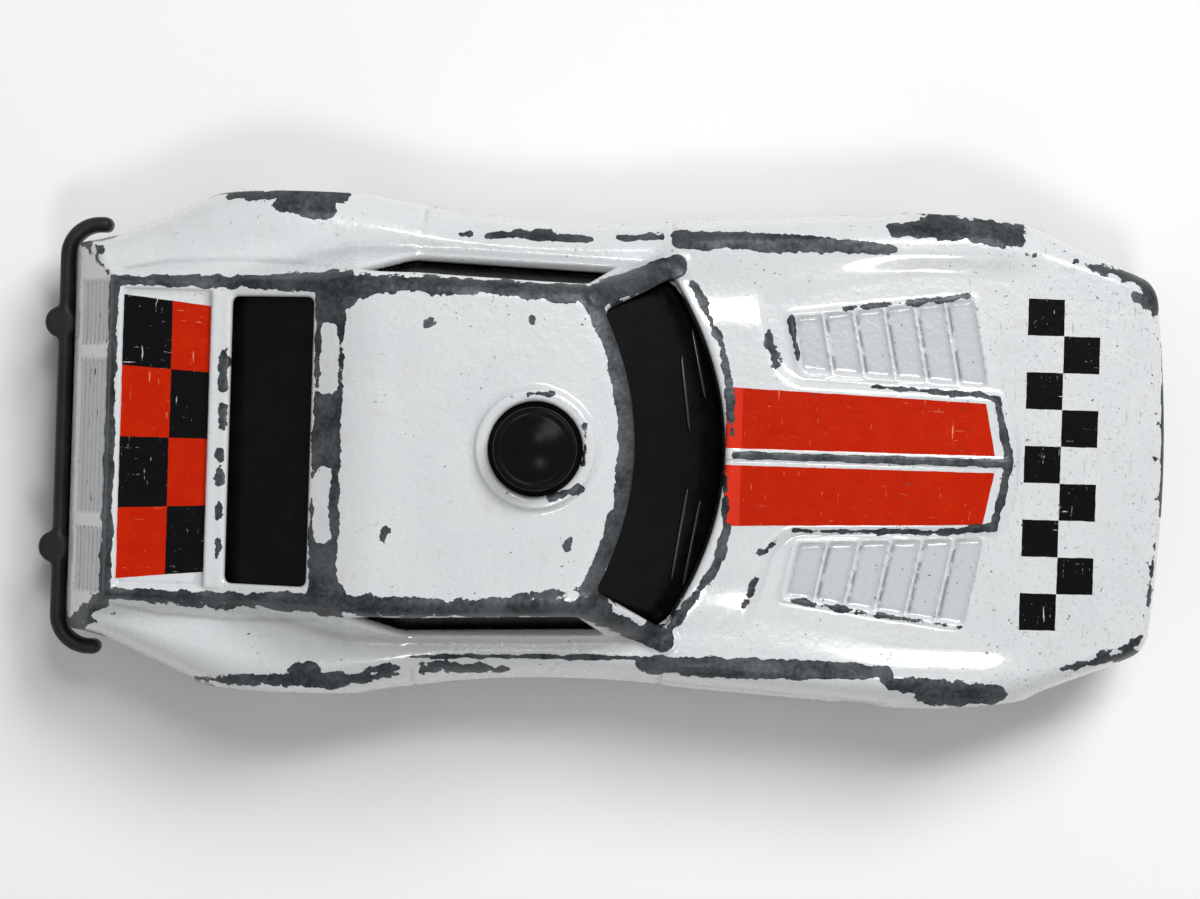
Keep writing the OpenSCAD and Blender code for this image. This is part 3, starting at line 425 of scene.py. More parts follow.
def openings(x, y, z):
    a = np.abs(y)
    along = screen_line(x, a)
    half = mix(SCREEN_TOP_HALF, SCREEN_FOOT_HALF, (along - SCREEN_TOP) / (SCREEN_FOOT - SCREEN_TOP))
    screen = soft_max(SCREEN_TOP - along, along - SCREEN_FOOT, GLASS_EDGE_R)
    screen = soft_max(screen, (a - half) * SCREEN_SIDE_COS, GLASS_CORNER_R)
    screen = meet(screen, SCREEN_LOW - z)
    rear = soft_max(REAR_GLASS_X[0] - x, x - REAR_GLASS_X[1], GLASS_EDGE_R)
    rear = meet(soft_max(rear, a - REAR_GLASS_HALF, GLASS_CORNER_R), REAR_GLASS_LOW - z)
    wall = BELT_HALF - (z - BELT_H) * SIDE_RUN - SIDE_SILL_IN
    sunk = z + SIDE_SILL_SLOPE * np.maximum(wall - a, 0)
    side = -FAR
    for corner, following in zip(SIDE_GLASS, SIDE_GLASS[1:] + SIDE_GLASS[:1]):
        side = soft_max(edge_distance(x, sunk, corner, following), side, GLASS_CORNER_R)
    side = meet(side, SIDE_GLASS_IN - a)
    beacon = meet(np.hypot(x - BEACON_X, y) - BEACON_HOLE_R, BEACON_HOLE_LOW - z)
    arches = [meet(outside_arch(x, z, axle), TRACK_IN - a) for axle in AXLES]
    grille_hole = meet(GRILLE_HOLE[0] - x, a - GRILLE_HOLE[1], z - GRILLE_HOLE[2])
    notch = meet(x - NOTCH[0], a - NOTCH[1], z - NOTCH[2])
    return join(screen, rear, side, beacon, *arches, grille_hole, notch)


def posts(x, y, z):
    """Rivet posts cast inside the shell, with their peened ends under the base."""
    f = FAR
    for post_x in POSTS_X:
        p = x - post_x
        stem = disc(p, y, z, POST_R, POST_LOW, POST_TOP)
        stem = meet(stem, z - np.where(x > 0, FRONT_POST_TOP, POST_TOP))
        pin = disc(p, y, z, PIN_R, PIN_LOW, PIN_TOP, PIN_EDGE)
        head = np.hypot(p, y) - PIN_R - (z - RIVET_LOW) * RIVET_FLARE
        f = join(f, stem, pin, meet(head, slab(z, RIVET_LOW, RIVET_TOP)))
    return f


def shell(x, y, z):
    f = meet(outer_skin(x, y, z), -cavity(x, y, z))
    return join(soft_max(f, -openings(x, y, z), OPENING_R), posts(x, y, z))


# Meshes from fields
def spaced(*stops):
    """Grid lines: each stop gives where a stretch starts and its step; the last gives the end."""
    parts = []
    for (start, step), (end, _) in zip(stops, stops[1:]):
        n = max(1, round((end - start) / step))
        parts.append(start + (end - start) * np.arange(n) / n)
    return np.concatenate(parts + [[stops[-1][0]]])


def net(field, xs, ys, zs, mirror=True):
    """Quads over the zero surface of a field. With mirror, ys starts at zero and the field is even in y."""
    values = field(xs[:, None, None], ys[None, :, None], zs[None, None, :]).astype(np.float32)
    values = np.broadcast_to(values, (len(xs), len(ys), len(zs)))
    if mirror:
        values = np.concatenate([values[:, :0:-1], values], axis=1)
        ys = np.concatenate([-ys[:0:-1], ys])
    inside = values < 0
    corners = [(i, j, k) for i in (0, 1) for j in (0, 1) for k in (0, 1)]
    nx, ny, nz = (n - 1 for n in values.shape)
    count = sum(inside[i:nx + i, j:ny + j, k:nz + k].astype(np.int8) for i, j, k in corners)
    cell = np.argwhere((count > 0) & (count < 8))
    index = np.full((nx, ny, nz), -1, np.int32)
    index[tuple(cell.T)] = np.arange(len(cell))
    place = [np.stack([g[cell[:, d] + c[d]] for d, g in enumerate((xs, ys, zs))], 1) for c in corners]
    value = [values[tuple((cell + c).T)] for c in corners]
    total, hits = np.zeros((len(cell), 3)), np.zeros(len(cell))
    for p in range(8):
        for q in range(p + 1, 8):
            if sum(abs(a - b) for a, b in zip(corners[p], corners[q])) != 1:
                continue
            crossed = (value[p] < 0) != (value[q] < 0)
            t = value[p][crossed] / (value[p][crossed] - value[q][crossed])
            total[crossed] += mix(place[p][crossed], place[q][crossed], t[:, None])
            hits[crossed] += 1
    quads = []
    for axis in range(3):
        b, c = (axis + 1) % 3, (axis + 2) % 3
        first = [slice(1, -1)] * 3
        first[axis] = slice(None, -1)
        second = list(first)
        second[axis] = slice(1, None)
        start, end = inside[tuple(first)], inside[tuple(second)]
        for mask, flip in ((start & ~end, False), (~start & end, True)):
            at = np.argwhere(mask)
            at[:, b] += 1
            at[:, c] += 1
            ring = []
            for db, dc in ((-1, -1), (0, -1), (0, 0), (-1, 0)):
                near = at.copy()
                near[:, b] += db
                near[:, c] += dc
                ring.append(index[tuple(near.T)])
            quads.append(np.stack(ring[::-1] if flip else ring, 1))
    return total / hits[:, None], np.concatenate(quads)


def slope_of(field, points, step=0.03):
    axes = np.eye(3) * step
    ends = [field(*(points + axis).T) - field(*(points - axis).T) for axis in axes]
    return np.stack(ends, 1) / (2 * step)


def settle(field, points, reach, rounds=2, least_steep=0.2):
    """Moves points onto the zero surface of the field."""
    for _ in range(rounds):
        slope = slope_of(field, points)
        step = (field(*points.T) / np.maximum((slope ** 2).sum(1), least_steep))[:, None] * slope
        points = points - np.clip(step, -reach, reach)
    return points


def mesh_object(name, points, faces):
    """Smooth-shaded object from points in mm and faces."""
    mesh = bpy.data.meshes.new(name)
    faces = faces.tolist() if isinstance(faces, np.ndarray) else faces
    mesh.from_pydata((np.asarray(points) * MM).tolist(), [], faces)
    mesh.polygons.foreach_set("use_smooth", [True] * len(mesh.polygons))
    mesh.update()
    piece = bpy.data.objects.new(name, mesh)
    bpy.context.scene.collection.objects.link(piece)
    return piece


def cast(name, field, grids, reach, mirror=True):
    """Piece over the zero surface of a field."""
    points, quads = net(field, *grids, mirror)
    return mesh_object(name, settle(field, points, reach), quads)


def grid_faces(rows, columns, round_rows=True, round_columns=True, flip=False):
    """Quads over rows of points; a round direction closes on itself."""
    faces = []
    for j in range(rows if round_rows else rows - 1):
        near, far = j * columns, (j + 1) % rows * columns
        for i in range(columns if round_columns else columns - 1):
            following = (i + 1) % columns
            quad = [near + i, near + following, far + following, far + i]
            faces.append(quad[:1] + quad[:0:-1] if flip else quad)
    return faces


def set_attribute(piece, name, values):
    attribute = piece.data.attributes.new(name, "FLOAT", "POINT")
    attribute.data.foreach_set("value", np.asarray(values, np.float32))


def dress(piece, body, slot, material, *nodes):
    """Material, body and replaced CAD nodes of a piece; the slot is not used."""
    piece.data.materials.append(material)
    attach(piece, body)
    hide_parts(*nodes)
    return piece


# Wear on the paint. Each stroke: a cap (where it is low, only the ragged peaks reach through the paint), a
# firmness (where it is high, the edge is less ragged), then x, y and half width of bare metal at its stops.
WEAR_STROKES = [
    # roof rails, band behind the roof and windscreen pillars
    (1, 1, (-16.2, 10.1, 0.7), (-9, 10.25, 0.5), (0.3, 9.9, 0.62)), (1, 1, (0.3, 9.9, 0.5), (1.4, 8.6, 0.5)),
    (1, 1, (-16.2, -10.2, 0.7), (-9, -10.3, 0.55)), (1, 1, (-9, -10.3, 0.6), (0.3, -9.9, 0.7)),
    (0.1, 1, (-5, -9.5, 0.3), (0.8, -9.2, 0.6)), (1, 1.6, (-17.4, -10.2, 0.95), (-17.4, 10.2, 0.95)),
    (1, 1, (-16.3, 9.0, 0.3), (-16.3, 9.8, 0.7)), (1, 1, (-16.4, -9.2, 0.3), (-16.3, -9.8, 0.6)),
    (1, 2.2, (-0.4, 9.95, 0.85), (4.5, 12.1, 0.8)), (1, 2, (-0.4, -9.95, 0.9), (4.5, -12.1, 0.8)),
    # ridges beside the deck, top edge of the tail and lip of the deck
    (1, 1.2, (-31.4, 10.1, 0.3), (-24, 10.2, 0.42), (-16.4, 10.3, 0.75)),
    (1, 1.2, (-31.4, -10.2, 0.45), (-24, -10.25, 0.4), (-16.4, -10.3, 0.75)),
    (0.15, 1, (-27, -10.7, 0.1), (-23.6, -10.7, 0.4)), (1, 1.7, (-31.75, -10.3, 0.46), (-31.7, 10.1, 0.36)),
    (0.25, 1, (-31.9, 10.3, 0.2), (-34.2, 12.5, 0.16)), (1, 1.6, (-31.9, -10.5, 0.5), (-34.3, -12.3, 0.4)),
    (1, 1.2, (-24.4, 5.7, 0.3), (-24.4, 3.4, 0.3)), (1, 1.2, (-24.4, 2.0, 0.24), (-24.4, 0.8, 0.28)),
    (1, 1.2, (-24.45, -0.8, 0.24), (-24.45, -1.3, 0.24)),
    (1, 1.2, (-24.45, -2.0, 0.24), (-24.45, -2.7, 0.26)),
    (1, 1.2, (-24.45, -4.0, 0.26), (-24.45, -4.9, 0.3)),
    (1, 1.2, (-24.45, -6.4, 0.26), (-24.45, -7.6, 0.26)),
    # rear fenders
    (1, 1, (-24.6, 16.0, 0.3), (-17.2, 16.0, 0.45)), (1, 1, (-21.4, 15.4, 0.4), (-18.4, 15.1, 0.75)),
    (1, 1, (-26, -15.7, 0.2), (-17.2, -15.5, 0.5), (-12.7, -14.9, 0.12)),
    (1, 1, (-19.1, -14.9, 0.6), (-18.3, -14.8, 0.6)), (0.3, 1, (-14.5, -14.7, 0.3), (-12.6, -14.4, 0.3)),
    # doors
    (1, 1.5, (-9.6, 13.8, 0.15), (-8.9, 13.8, 0.24)), (0.6, 1.5, (0.8, 13.95, 0.16), (3.6, 14.0, 0.3)),
    (1, 1.5, (-7.7, 13.75, 0.25), (-4.5, 13.95, 0.42), (-1.0, 13.7, 0.16)),
    (1, 2, (-12, -13.7, 0.12), (2.7, -13.35, 0.16)), (0.12, 1, (-11, -14.4, 0.35), (-6, -14.4, 0.35)),
    # front fenders
    (1, 1.4, (4.6, 13.95, 0.6), (12, 13.85, 0.62), (18.6, 13.65, 0.3)),
    (1, 1.4, (3.3, -13.75, 0.6), (12, -13.8, 0.7), (19.0, -13.8, 0.42)),
    (1, 1, (18.6, 14.95, 0.4), (21.5, 15.2, 0.85), (26.6, 15.1, 0.7)),
    (1, 1, (19.6, -14.5, 0.4), (22, -15.0, 0.9), (26.4, -15.1, 0.65)),
    (0.3, 1, (23.6, 14.5, 0.2), (26.8, 14.5, 0.45)), (0.3, 1, (18.2, -13.9, 0.2), (20.2, -14.6, 0.3)),
    # nose
    (0.5, 1, (30.6, 13.3, 0.12), (33.6, 12.7, 0.26)), (1, 1.2, (33.6, 12.7, 0.3), (35.6, 12.0, 0.45)),
    (1, 1.2, (35.6, 12.0, 0.55), (36.1, 10.6, 0.4)), (0.3, 1, (34.6, 11.4, 0.3), (35.4, 10.6, 0.3)),
    (0.9, 1.2, (30.6, -13.3, 0.2), (35.4, -12.2, 0.36)), (1, 2.5, (36.7, 8.2, 0.14), (36.9, 2, 0.22)),
    (0.4, 2.5, (36.9, 2, 0.22), (36.85, -3, 0.14)), (0.1, 2, (36.6, -4, 0.1), (36.2, -9, 0.1)),
    # louvre panels
    (0.16, 1.3, (15.6, 9.75, 0.1), (23.6, 10.75, 0.2)), (0.1, 1.3, (12.8, -9.35, 0.16), (23.8, -10.75, 0.16)),
    (0.1, 1.3, (12.1, 8.9, 0.2), (12.7, 6.2, 0.1)),
    # raised centre of the hood and step of the cowl
    (1, 2, (24.4, 4.4, 0.14), (25.7, 4.1, 0.26), (26.6, 0, 0.26), (25.7, -4.1, 0.26)),
    (1, 1.6, (25.7, -4.1, 0.28), (22.6, -4.55, 0.2)), (0.4, 1.6, (17.5, 4.7, 0.1), (24.6, 4.4, 0.2)),
    (0.5, 1.6, (12.8, -4.75, 0.12), (22.6, -4.6, 0.2)), (1, 1, (10.7, 7.9, 0.3), (11.2, 6.0, 0.42)),
    (0.1, 1, (10.6, -6.2, 0.12), (11.6, -5.6, 0.16)), (0.1, 1, (9.6, -9.6, 0.2), (10.4, -8, 0.2)),
    # lip of the cowl
    (0.6, 1.4, (8.2, 4.0, 0.24), (8.55, 1.4, 0.24)), (0.13, 1.2, (5.6, 11.2, 0.2), (7.6, 7.4, 0.18)),
    (0.08, 1.2, (7.6, 7.4, 0.14), (8.3, 4.2, 0.14)), (0.6, 1.2, (4.9, -11.4, 0.34), (7.8, -7.2, 0.28)),
    (0.4, 1.2, (7.8, -7.2, 0.26), (8.4, -4.6, 0.2)), (0.08, 1.4, (8.2, -1.4, 0.14), (8.2, -4.4, 0.14)),
    # single chips on the roof, and collar
    (1, 1, (-4.6, 8.2, 0.16), (-4.5, 7.9, 0.16)), (0.02, 1, (-11.1, 7.7, 0.2), (-10.6, 7.9, 0.2)),
    (0.1, 1, (-1.9, -6.2, 0.2), (-1.6, -5.6, 0.16)), (0.02, 1, (-13.6, -6.0, 0.18), (-13.4, -5.4, 0.14)),
    (0.4, 1, (-4.6, 3.5, 0.16), (-3.2, 3.5, 0.16)), (1, 1.2, (-2.9, -3.0, 0.3), (-1.2, -2.4, 0.3)),
    (0.02, 1, (-1.0, -0.9, 0.1), (-1.0, 1.6, 0.1))]
# Paint left inside worn areas: start, end and half width
KEPT_STROKES = [((-17.45, 3.5), (-17.4, 7.1), 0.56), ((-17.6, -2.1), (-17.6, -5.9), 0.58),
                ((1.6, -10.0), (3.0, -10.75), 0.34), ((-15.2, 11.0), (-5.2, 11.0), 0.1),
                ((-3.4, 10.75), (-1.2, 10.7), 0.1)]
KEPT_FIRM, UNWORN, INNER_WEAR = 1.15, -1.5, 0.3
ROOF_BAND_AT, ROOF_BAND_HALF, ROOF_BAND_FIRM, ROOF_BAND_LOW = 1.75, 0.62, 1.3, ROOF_H - 1.6
ROOF_BAND_LOSS, ROOF_BAND_FADE = 0.5, (9, 1)
SPINE_WORN_HALF, SPINE_WORN_X, SPINE_FIRM, SPINE_LOW = 0.27, COWL_X + 0.3, 4, 9
WEAR_DEPTH, WEAR_DEPTH_LOSS = 0.8, 1.6
EDGE_LEVEL, EDGE_GAIN, EDGE_CAP, EDGE_LOSS, EDGE_FADE = 0.085, 5, 0.12, 0.5, (12, 0.6)


def wear_map(points, top, convex):
    """How far each point lies inside worn metal, in mm, before the ragged edge is added."""
    x, y, z = points.T
    wear = np.full(len(points), UNWORN)
    for cap, firm, *stops in WEAR_STROKES:
        for start, end in zip(stops, stops[1:]):
            half = mix(start[2], end[2], segment_share(x, y, start, end))
            wear = np.maximum(wear, np.minimum((half - segment_distance(x, y, start, end)) * firm, cap))
    band = ROOF_BAND_HALF - np.abs(screen_line(x, y) - ROOF_BAND_AT)
    band = band - ROOF_BAND_LOSS * ramp(np.abs(y), *ROOF_BAND_FADE)
    wear = np.maximum(wear, np.where(z > ROOF_BAND_LOW, band * ROOF_BAND_FIRM, UNWORN))
    spine = np.maximum(np.abs(y) - SPINE_WORN_HALF, np.maximum(SPINE_WORN_X - x, x - BULGE_TIP_X))
    wear = np.maximum(wear, np.where(z > SPINE_LOW, -spine * SPINE_FIRM, UNWORN))
    for start, end, half in KEPT_STROKES:
        wear = np.minimum(wear, (segment_distance(x, y, start, end) - half) * KEPT_FIRM)
    wear = wear - np.maximum(top - z - WEAR_DEPTH, 0) * WEAR_DEPTH_LOSS
    edge = np.minimum((convex - EDGE_LEVEL) * EDGE_GAIN, EDGE_CAP) - EDGE_LOSS * ramp(z, *EDGE_FADE)
    return np.maximum(wear, edge)


# Painted shade: greyer flats between the slats and in the ribbed fields, and a painted shadow line at the
# foot of each slat
FLAT_FADE, FLAT_START, FIELD_GREY_FADE, FIELD_FRONT_X = (-0.25, 0.2), (0.14, 0.1), (-0.1, 0.15), -31.5
FOOT_SHADOW_RIDGE, FOOT_SHADOW_FADE, FOOT_SHADOW_LOW = (1, 0.19, 0.1), (-0.35, 0.15), BELT_H - 2


def recess_shade_map(x, a, z):
    """1 on the greyer flats, where shade is painted."""
    edges = louvre_edges(x, a)
    along, _ = louvre_places(edges)
    panel = fade(meet(*edges), *FLAT_FADE)
    flat = ramp(np.abs(along - np.round(along)) * 2, *FLAT_START)
    field = fade(tail_fields(a, z), *FIELD_GREY_FADE)
    return np.where(x > 0, panel * flat, np.where(x < FIELD_FRONT_X, field, 0))


def foot_map(x, a, z):
    """1 along the front foot of each slat, where a shadow line is painted."""
    edges = louvre_edges(x, a)
    _, to_slat = louvre_places(edges)
    shadow_line = ridge(to_slat, *FOOT_SHADOW_RIDGE) * fade(meet(*edges), *FOOT_SHADOW_FADE)
    return np.where((x > 0) & (z > FOOT_SHADOW_LOW), shadow_line, 0)


def box_blur(values, reach):
    for axis in range(3):
        pad = [(reach + 1, reach) if d == axis else (0, 0) for d in range(3)]
        run = np.cumsum(np.pad(values, pad, mode="edge"), axis=axis, dtype=np.float32)
        n = values.shape[axis]
        high = np.take(run, np.arange(2 * reach + 1, 2 * reach + 1 + n), axis=axis)
        values = (high - np.take(run, np.arange(n), axis=axis)) / (2 * reach + 1)
    return values


def sample(values, grids, points):
    """Values of a grid at points, by linear interpolation."""
    base, part = [], []
    for d, g in enumerate(grids):
        i = np.clip(np.searchsorted(g, points[:, d]) - 1, 0, len(g) - 2)
        base.append(i)
        part.append(clamp((points[:, d] - g[i]) / (g[i + 1] - g[i])))
    total = 0
    for corner in np.ndindex(*(2,) * len(grids)):
        weight = 1.0
        for d, c in enumerate(corner):
            weight = weight * (part[d] if c else 1 - part[d])
        total = total + weight * values[tuple(b + c for b, c in zip(base, corner))]
    return total


BODY_GRID_X = ((-35.4, 0.16), (-31.0, 0.2), (-24.8, 0.2), (-8.0, 0.17), (11.4, 0.15), (26.8, 0.2), (37.4, 0))
BODY_GRID_Y = ((0, 0.15), (0.6, 0.22), (3.6, 0.16), (5.4, 0.2), (9.2, 0.17), (12.0, 0.2), (16.7, 0))
BODY_GRID_Z = ((2.6, 0.25), (9.0, 0.2), (11.4, 0.16), (15.2, 0.22), (18.0, 0.17), (20.6, 0))
BODY_REACH, BLUR_REACH, HOLLOW_LIMITS = 0.08, 3, (-0.2, 0.4)
INNER_DEPTH, INNER_KEPT, BARE_DEPTH, BARE_LOW = -0.5, 0.58, -0.55, SILL_H - 0.2


def make_body():
    xs, ys, zs = (spaced(*stops) for stops in (BODY_GRID_X, BODY_GRID_Y, BODY_GRID_Z))
    points, quads = net(shell, xs, ys, zs)
    points = settle(shell, points, BODY_REACH)
    half = np.abs(points * (0, 1, 0)) + points * (1, 0, 1)
    solid = outer_skin(xs[:, None, None], ys[None, :, None], zs[None, None, :]).astype(np.float32)
    highest = np.where(solid < 0, zs[None, None, :], 0).max(2)
    top = sample(highest, (xs, ys), half[:, :2])
    convex = sample(box_blur(solid, BLUR_REACH), (xs, ys, zs), half) - sample(solid, (xs, ys, zs), half)
    depth = outer_skin(*points.T)
    bare = (depth < BARE_DEPTH) | (points[:, 2] < BARE_LOW)
    piece = mesh_object("painted_body", points, quads)
    set_attribute(piece, "wear", np.where(bare, INNER_WEAR, wear_map(points, top, convex)))
    # The next three attributes mark where shade is painted: in hollows, on the greyer flats, and along the
    # foot of each slat
    set_attribute(piece, "hollow_shade", np.clip(-convex, *HOLLOW_LIMITS))
    set_attribute(piece, "recess_shade", recess_shade_map(*half.T))
    set_attribute(piece, "foot", foot_map(*half.T))
    inner = piece.vertex_groups.new(name="inner")
    inner.add(np.nonzero(depth < INNER_DEPTH)[0].tolist(), 1.0, "REPLACE")
    return piece


# Materials
def math_node(kind):
    """Method that adds a math node of one kind."""
    return lambda signal, *others: signal.op(kind, *others)


class Signal:
    """A socket in a node tree; arithmetic on it adds math nodes."""
    __add__, __sub__, __mul__ = (math_node(kind) for kind in ("ADD", "SUBTRACT", "MULTIPLY"))
    __truediv__, __mod__ = math_node("DIVIDE"), math_node("FLOORED_MODULO")
    floor, abs, min, max = (math_node(kind) for kind in ("FLOOR", "ABSOLUTE", "MINIMUM", "MAXIMUM"))

    def __init__(self, tree, socket):
        self.tree, self.socket = tree, socket

    def op(self, kind, *others):
        node = self.tree.nodes.new("ShaderNodeMath")
        node.operation = kind
        for slot, value in zip(node.inputs, (self, *others)):
            if isinstance(value, Signal):
                self.tree.links.new(value.socket, slot)
            else:
                slot.default_value = value
        return Signal(self.tree, node.outputs[0])

    def inverse(self):
        """1 minus the signal."""
        return self.op("MULTIPLY_ADD", -1.0, 1.0)

    def above(self, level, soft=0.02):
        """0 below the level and 1 above it, with a soft edge."""
        node = self.tree.nodes.new("ShaderNodeMapRange")
        node.interpolation_type = "SMOOTHSTEP"
        self.tree.links.new(self.socket, node.inputs["Value"])
        node.inputs["From Min"].default_value = level - soft
        node.inputs["From Max"].default_value = level + soft
        return Signal(self.tree, node.outputs["Result"])

    def below(self, level, soft=0.02):
        return self.above(level, soft).inverse()

    def between(self, low, high, soft=0.02):
        return self.above(low, soft) * self.below(high, soft)


class Surface:
    """A material with one principled shader, fed by coordinates in mm."""

    def __init__(self, name, **constants):
        self.material = bpy.data.materials.new(name)
        self.material.use_nodes = True
        self.tree = self.material.node_tree
        self.shader = self.tree.nodes["Principled BSDF"]
        for socket, value in constants.items():
            self.shader.inputs[socket.replace("_", " ")].default_value = value
        scale = self.node("VectorMath")
        scale.operation = "SCALE"
        scale.inputs["Scale"].default_value = 1 / MM
        self.tree.links.new(self.node("TexCoord").outputs["Object"], scale.inputs[0])
        self.place = scale.outputs[0]
        split = self.node("SeparateXYZ", Vector=self.place)
        self.x, self.y, self.z = (Signal(self.tree, out) for out in split.outputs)

    def node(self, kind, **values):
        """New node; each value is a constant or a socket for the input of that name."""
        node = self.tree.nodes.new(f"ShaderNode{kind}")
        for name, value in values.items():
            if isinstance(value, bpy.types.NodeSocket):
                self.tree.links.new(value, node.inputs[name])
            else:
                node.inputs[name].default_value = value
        return node

    def attribute(self, name):
        node = self.node("Attribute")
        node.attribute_name = name
        return Signal(self.tree, node.outputs["Fac"])

    def facing_up(self):
        split = self.node("SeparateXYZ", Vector=self.node("NewGeometry").outputs["Normal"])
        return Signal(self.tree, split.outputs["Z"])

    def noise(self, scale, detail=3.0, rough=0.5, stretch=None):
        """Noise about zero, with scale in features per mm; stretch holds three scales and a turn about z."""
        place = self.place
        if stretch:
            mapping = self.node("Mapping", Scale=stretch[:3], Rotation=(0, 0, stretch[3]), Vector=place)
            place = mapping.outputs[0]
        node = self.node("TexNoise", Scale=scale, Detail=detail, Roughness=rough, Vector=place)
        return Signal(self.tree, node.outputs["Fac"]) - 0.5

    def blend(self, factor, a, b):
        node = self.node("Mix")
        node.data_type = "RGBA"
        self.tree.links.new(factor.socket, node.inputs["Factor"])
        for slot, value in ((node.inputs[6], a), (node.inputs[7], b)):
            if isinstance(value, Signal):
                self.tree.links.new(value.socket, slot)
            else:
                slot.default_value = (*value, 1)
        return Signal(self.tree, node.outputs[2])

    def feed(self, socket, signal):
        self.tree.links.new(signal.socket, self.shader.inputs[socket])

    def relief(self, height, distance_mm, strength):
        node = self.node("Bump", Distance=distance_mm * MM, Strength=strength, Height=height.socket)
        self.tree.links.new(node.outputs[0], self.shader.inputs["Normal"])


# Colours of the paint, its yellowed film and scuffs, the painted shade, the prints and the bare metal
WHITE, DULL_WHITE = (0.69, 0.71, 0.72), (0.64, 0.665, 0.68)
FILM, SCUFF = (0.58, 0.56, 0.51), (0.26, 0.26, 0.26)
# The next three colours are painted shade: on the flats of the louvres and ribbed fields, in hollows and
# creases, and a shadow line at the front foot of each slat
RECESS_SHADE_GREY, CREASE_SHADE, FOOT_SHADOW = (0.51, 0.525, 0.545), (0.30, 0.31, 0.33), (0.09, 0.095, 0.105)
ORANGE, DEEP_ORANGE = (0.56, 0.020, 0.0005), (0.50, 0.012, 0.0005)
PALE_ORANGE, SCRATCHED_ORANGE = (0.70, 0.035, 0.016), (0.82, 0.32, 0.18)
INK, DARK_ZINC, LIGHT_ZINC = (0.003, 0.003, 0.004), (0.016, 0.020, 0.022), (0.085, 0.094, 0.100)
# More scuffs and specks towards the nose: middle of the change and half its length
SCUFFED_X, SPECKED_X = (22.0, 9.0), (20.0, 8.0)
# Prints: wobble of their edges, how far up a face has to look and how soft that limit is, stripes on the
# hood, checker on the deck (it fans out) and on the nose
WOBBLE, PRINT_UP = 0.08, (0.25, 0.1)
STRIPE_IN, STRIPE_OUT, STRIPE_OFF, STRIPE_DRAWN_IN, STRIPE_LOW = 0.54, 4.5, 0.1, 0.05, 9.0
STRIPE_REAR_X, STRIPE_FRONT_X, STRIPE_TIP, STRIPE_PALE_X = 8.1, 25.75, 0.2, (8.2, 9.15)
DECK_X, DECK_SQUARE, DECK_FAN, DECK_WIDEN, DECK_LOW = (-31.0, -27.85, -25.35), 4.5, 0.012, 1.35, 13.5
BAND_X, BAND_Y, BAND_SQUARE, BAND_LOW = 27.6, 10.8, 2.4, 8.0


def prints(s):
    """Where the orange and the black print lie."""
    up = s.facing_up().above(*PRINT_UP)
    x, y = s.x + s.noise(1.3, 2) * WOBBLE, s.y + s.noise(1.1, 2) * WOBBLE
    taper = ((s.x - COWL_X) / (BULGE_TIP_X - COWL_X)) * (BULGE_FRONT - BULGE_REAR - STRIPE_DRAWN_IN)
    off = (y + STRIPE_OFF).abs()
    stripe = off.above(STRIPE_IN) * (off - taper).below(STRIPE_OUT) * (x - STRIPE_REAR_X).above(0.0)
    stripe = stripe * (x + off * STRIPE_TIP).below(STRIPE_FRONT_X) * s.z.above(STRIPE_LOW) * up
    row = y * (x * DECK_FAN + DECK_WIDEN)
    deck = x.between(DECK_X[0], DECK_X[2]) * row.abs().below(DECK_SQUARE * 2 - 0.02)
    deck = deck * s.z.above(DECK_LOW) * up
    odd = (((row * -1.0 + DECK_SQUARE * 2) / DECK_SQUARE).floor() + x.above(DECK_X[1])) % 2.0
    band = x.between(BAND_X, BAND_X + 2 * BAND_SQUARE) * y.abs().below(BAND_Y) * s.z.above(BAND_LOW) * up
    cell = (((x - BAND_X) / BAND_SQUARE).floor() + ((y + BAND_Y) / BAND_SQUARE).floor()) % 2.0
    return stripe.max(deck * odd.above(0.5)), (deck * odd.below(0.5)).max(band * cell.below(0.5))


def aged_white(s):
    """White paint with a yellowed film, scuffs and grit, and painted shade: greyer recesses, darker hollows
    and a shadow line at the foot of each slat.
    """
    paint = s.blend((s.noise(0.22, 4, 0.6) + 0.5).above(0.42, 0.3), DULL_WHITE, WHITE)
    paint = s.blend(s.noise(0.7, 5, 0.7).above(0.13, 0.08) * 0.4, paint, FILM)
    front = s.x.above(*SCUFFED_X) * 0.1
    scuff = (s.noise(1.1, 4, 0.7, (6, 0.8, 1, 0.25)) + front).above(0.235, 0.03)
    grit = (s.noise(4.2, 3, 0.6) + front * 0.5).above(0.2, 0.03)
    paint = s.blend(scuff.max(grit) * 0.55, paint, SCUFF)
    # Painted shade on the flats between the slats and on the ribbed fields of the tail
    paint = s.blend(s.attribute("recess_shade") * 0.85, paint, RECESS_SHADE_GREY)
    # Painted shade, darker in hollows and creases
    paint = s.blend(s.attribute("hollow_shade").above(0.07, 0.05) * 0.45, paint, CREASE_SHADE)
    # Painted shadow: a dark line along the front foot of each slat
    foot = s.attribute("foot") * s.noise(1.2, 3).above(-0.06, 0.05)
    return s.blend(foot * 0.85, paint, FOOT_SHADOW)


def orange_print(s, scratch, fleck):
    """Orange with a pale band at the cowl and light scratches."""
    red = s.blend(s.noise(0.9, 3).above(0.0, 0.4), DEEP_ORANGE, ORANGE)
    pale = (s.x - STRIPE_PALE_X[0]).above(0.0, 0.01) * s.x.below(STRIPE_PALE_X[1], 0.02)
    red = s.blend(pale, red, PALE_ORANGE)
    return s.blend((scratch + fleck * 0.5).min(1.0) * 0.85, red, SCRATCHED_ORANGE)


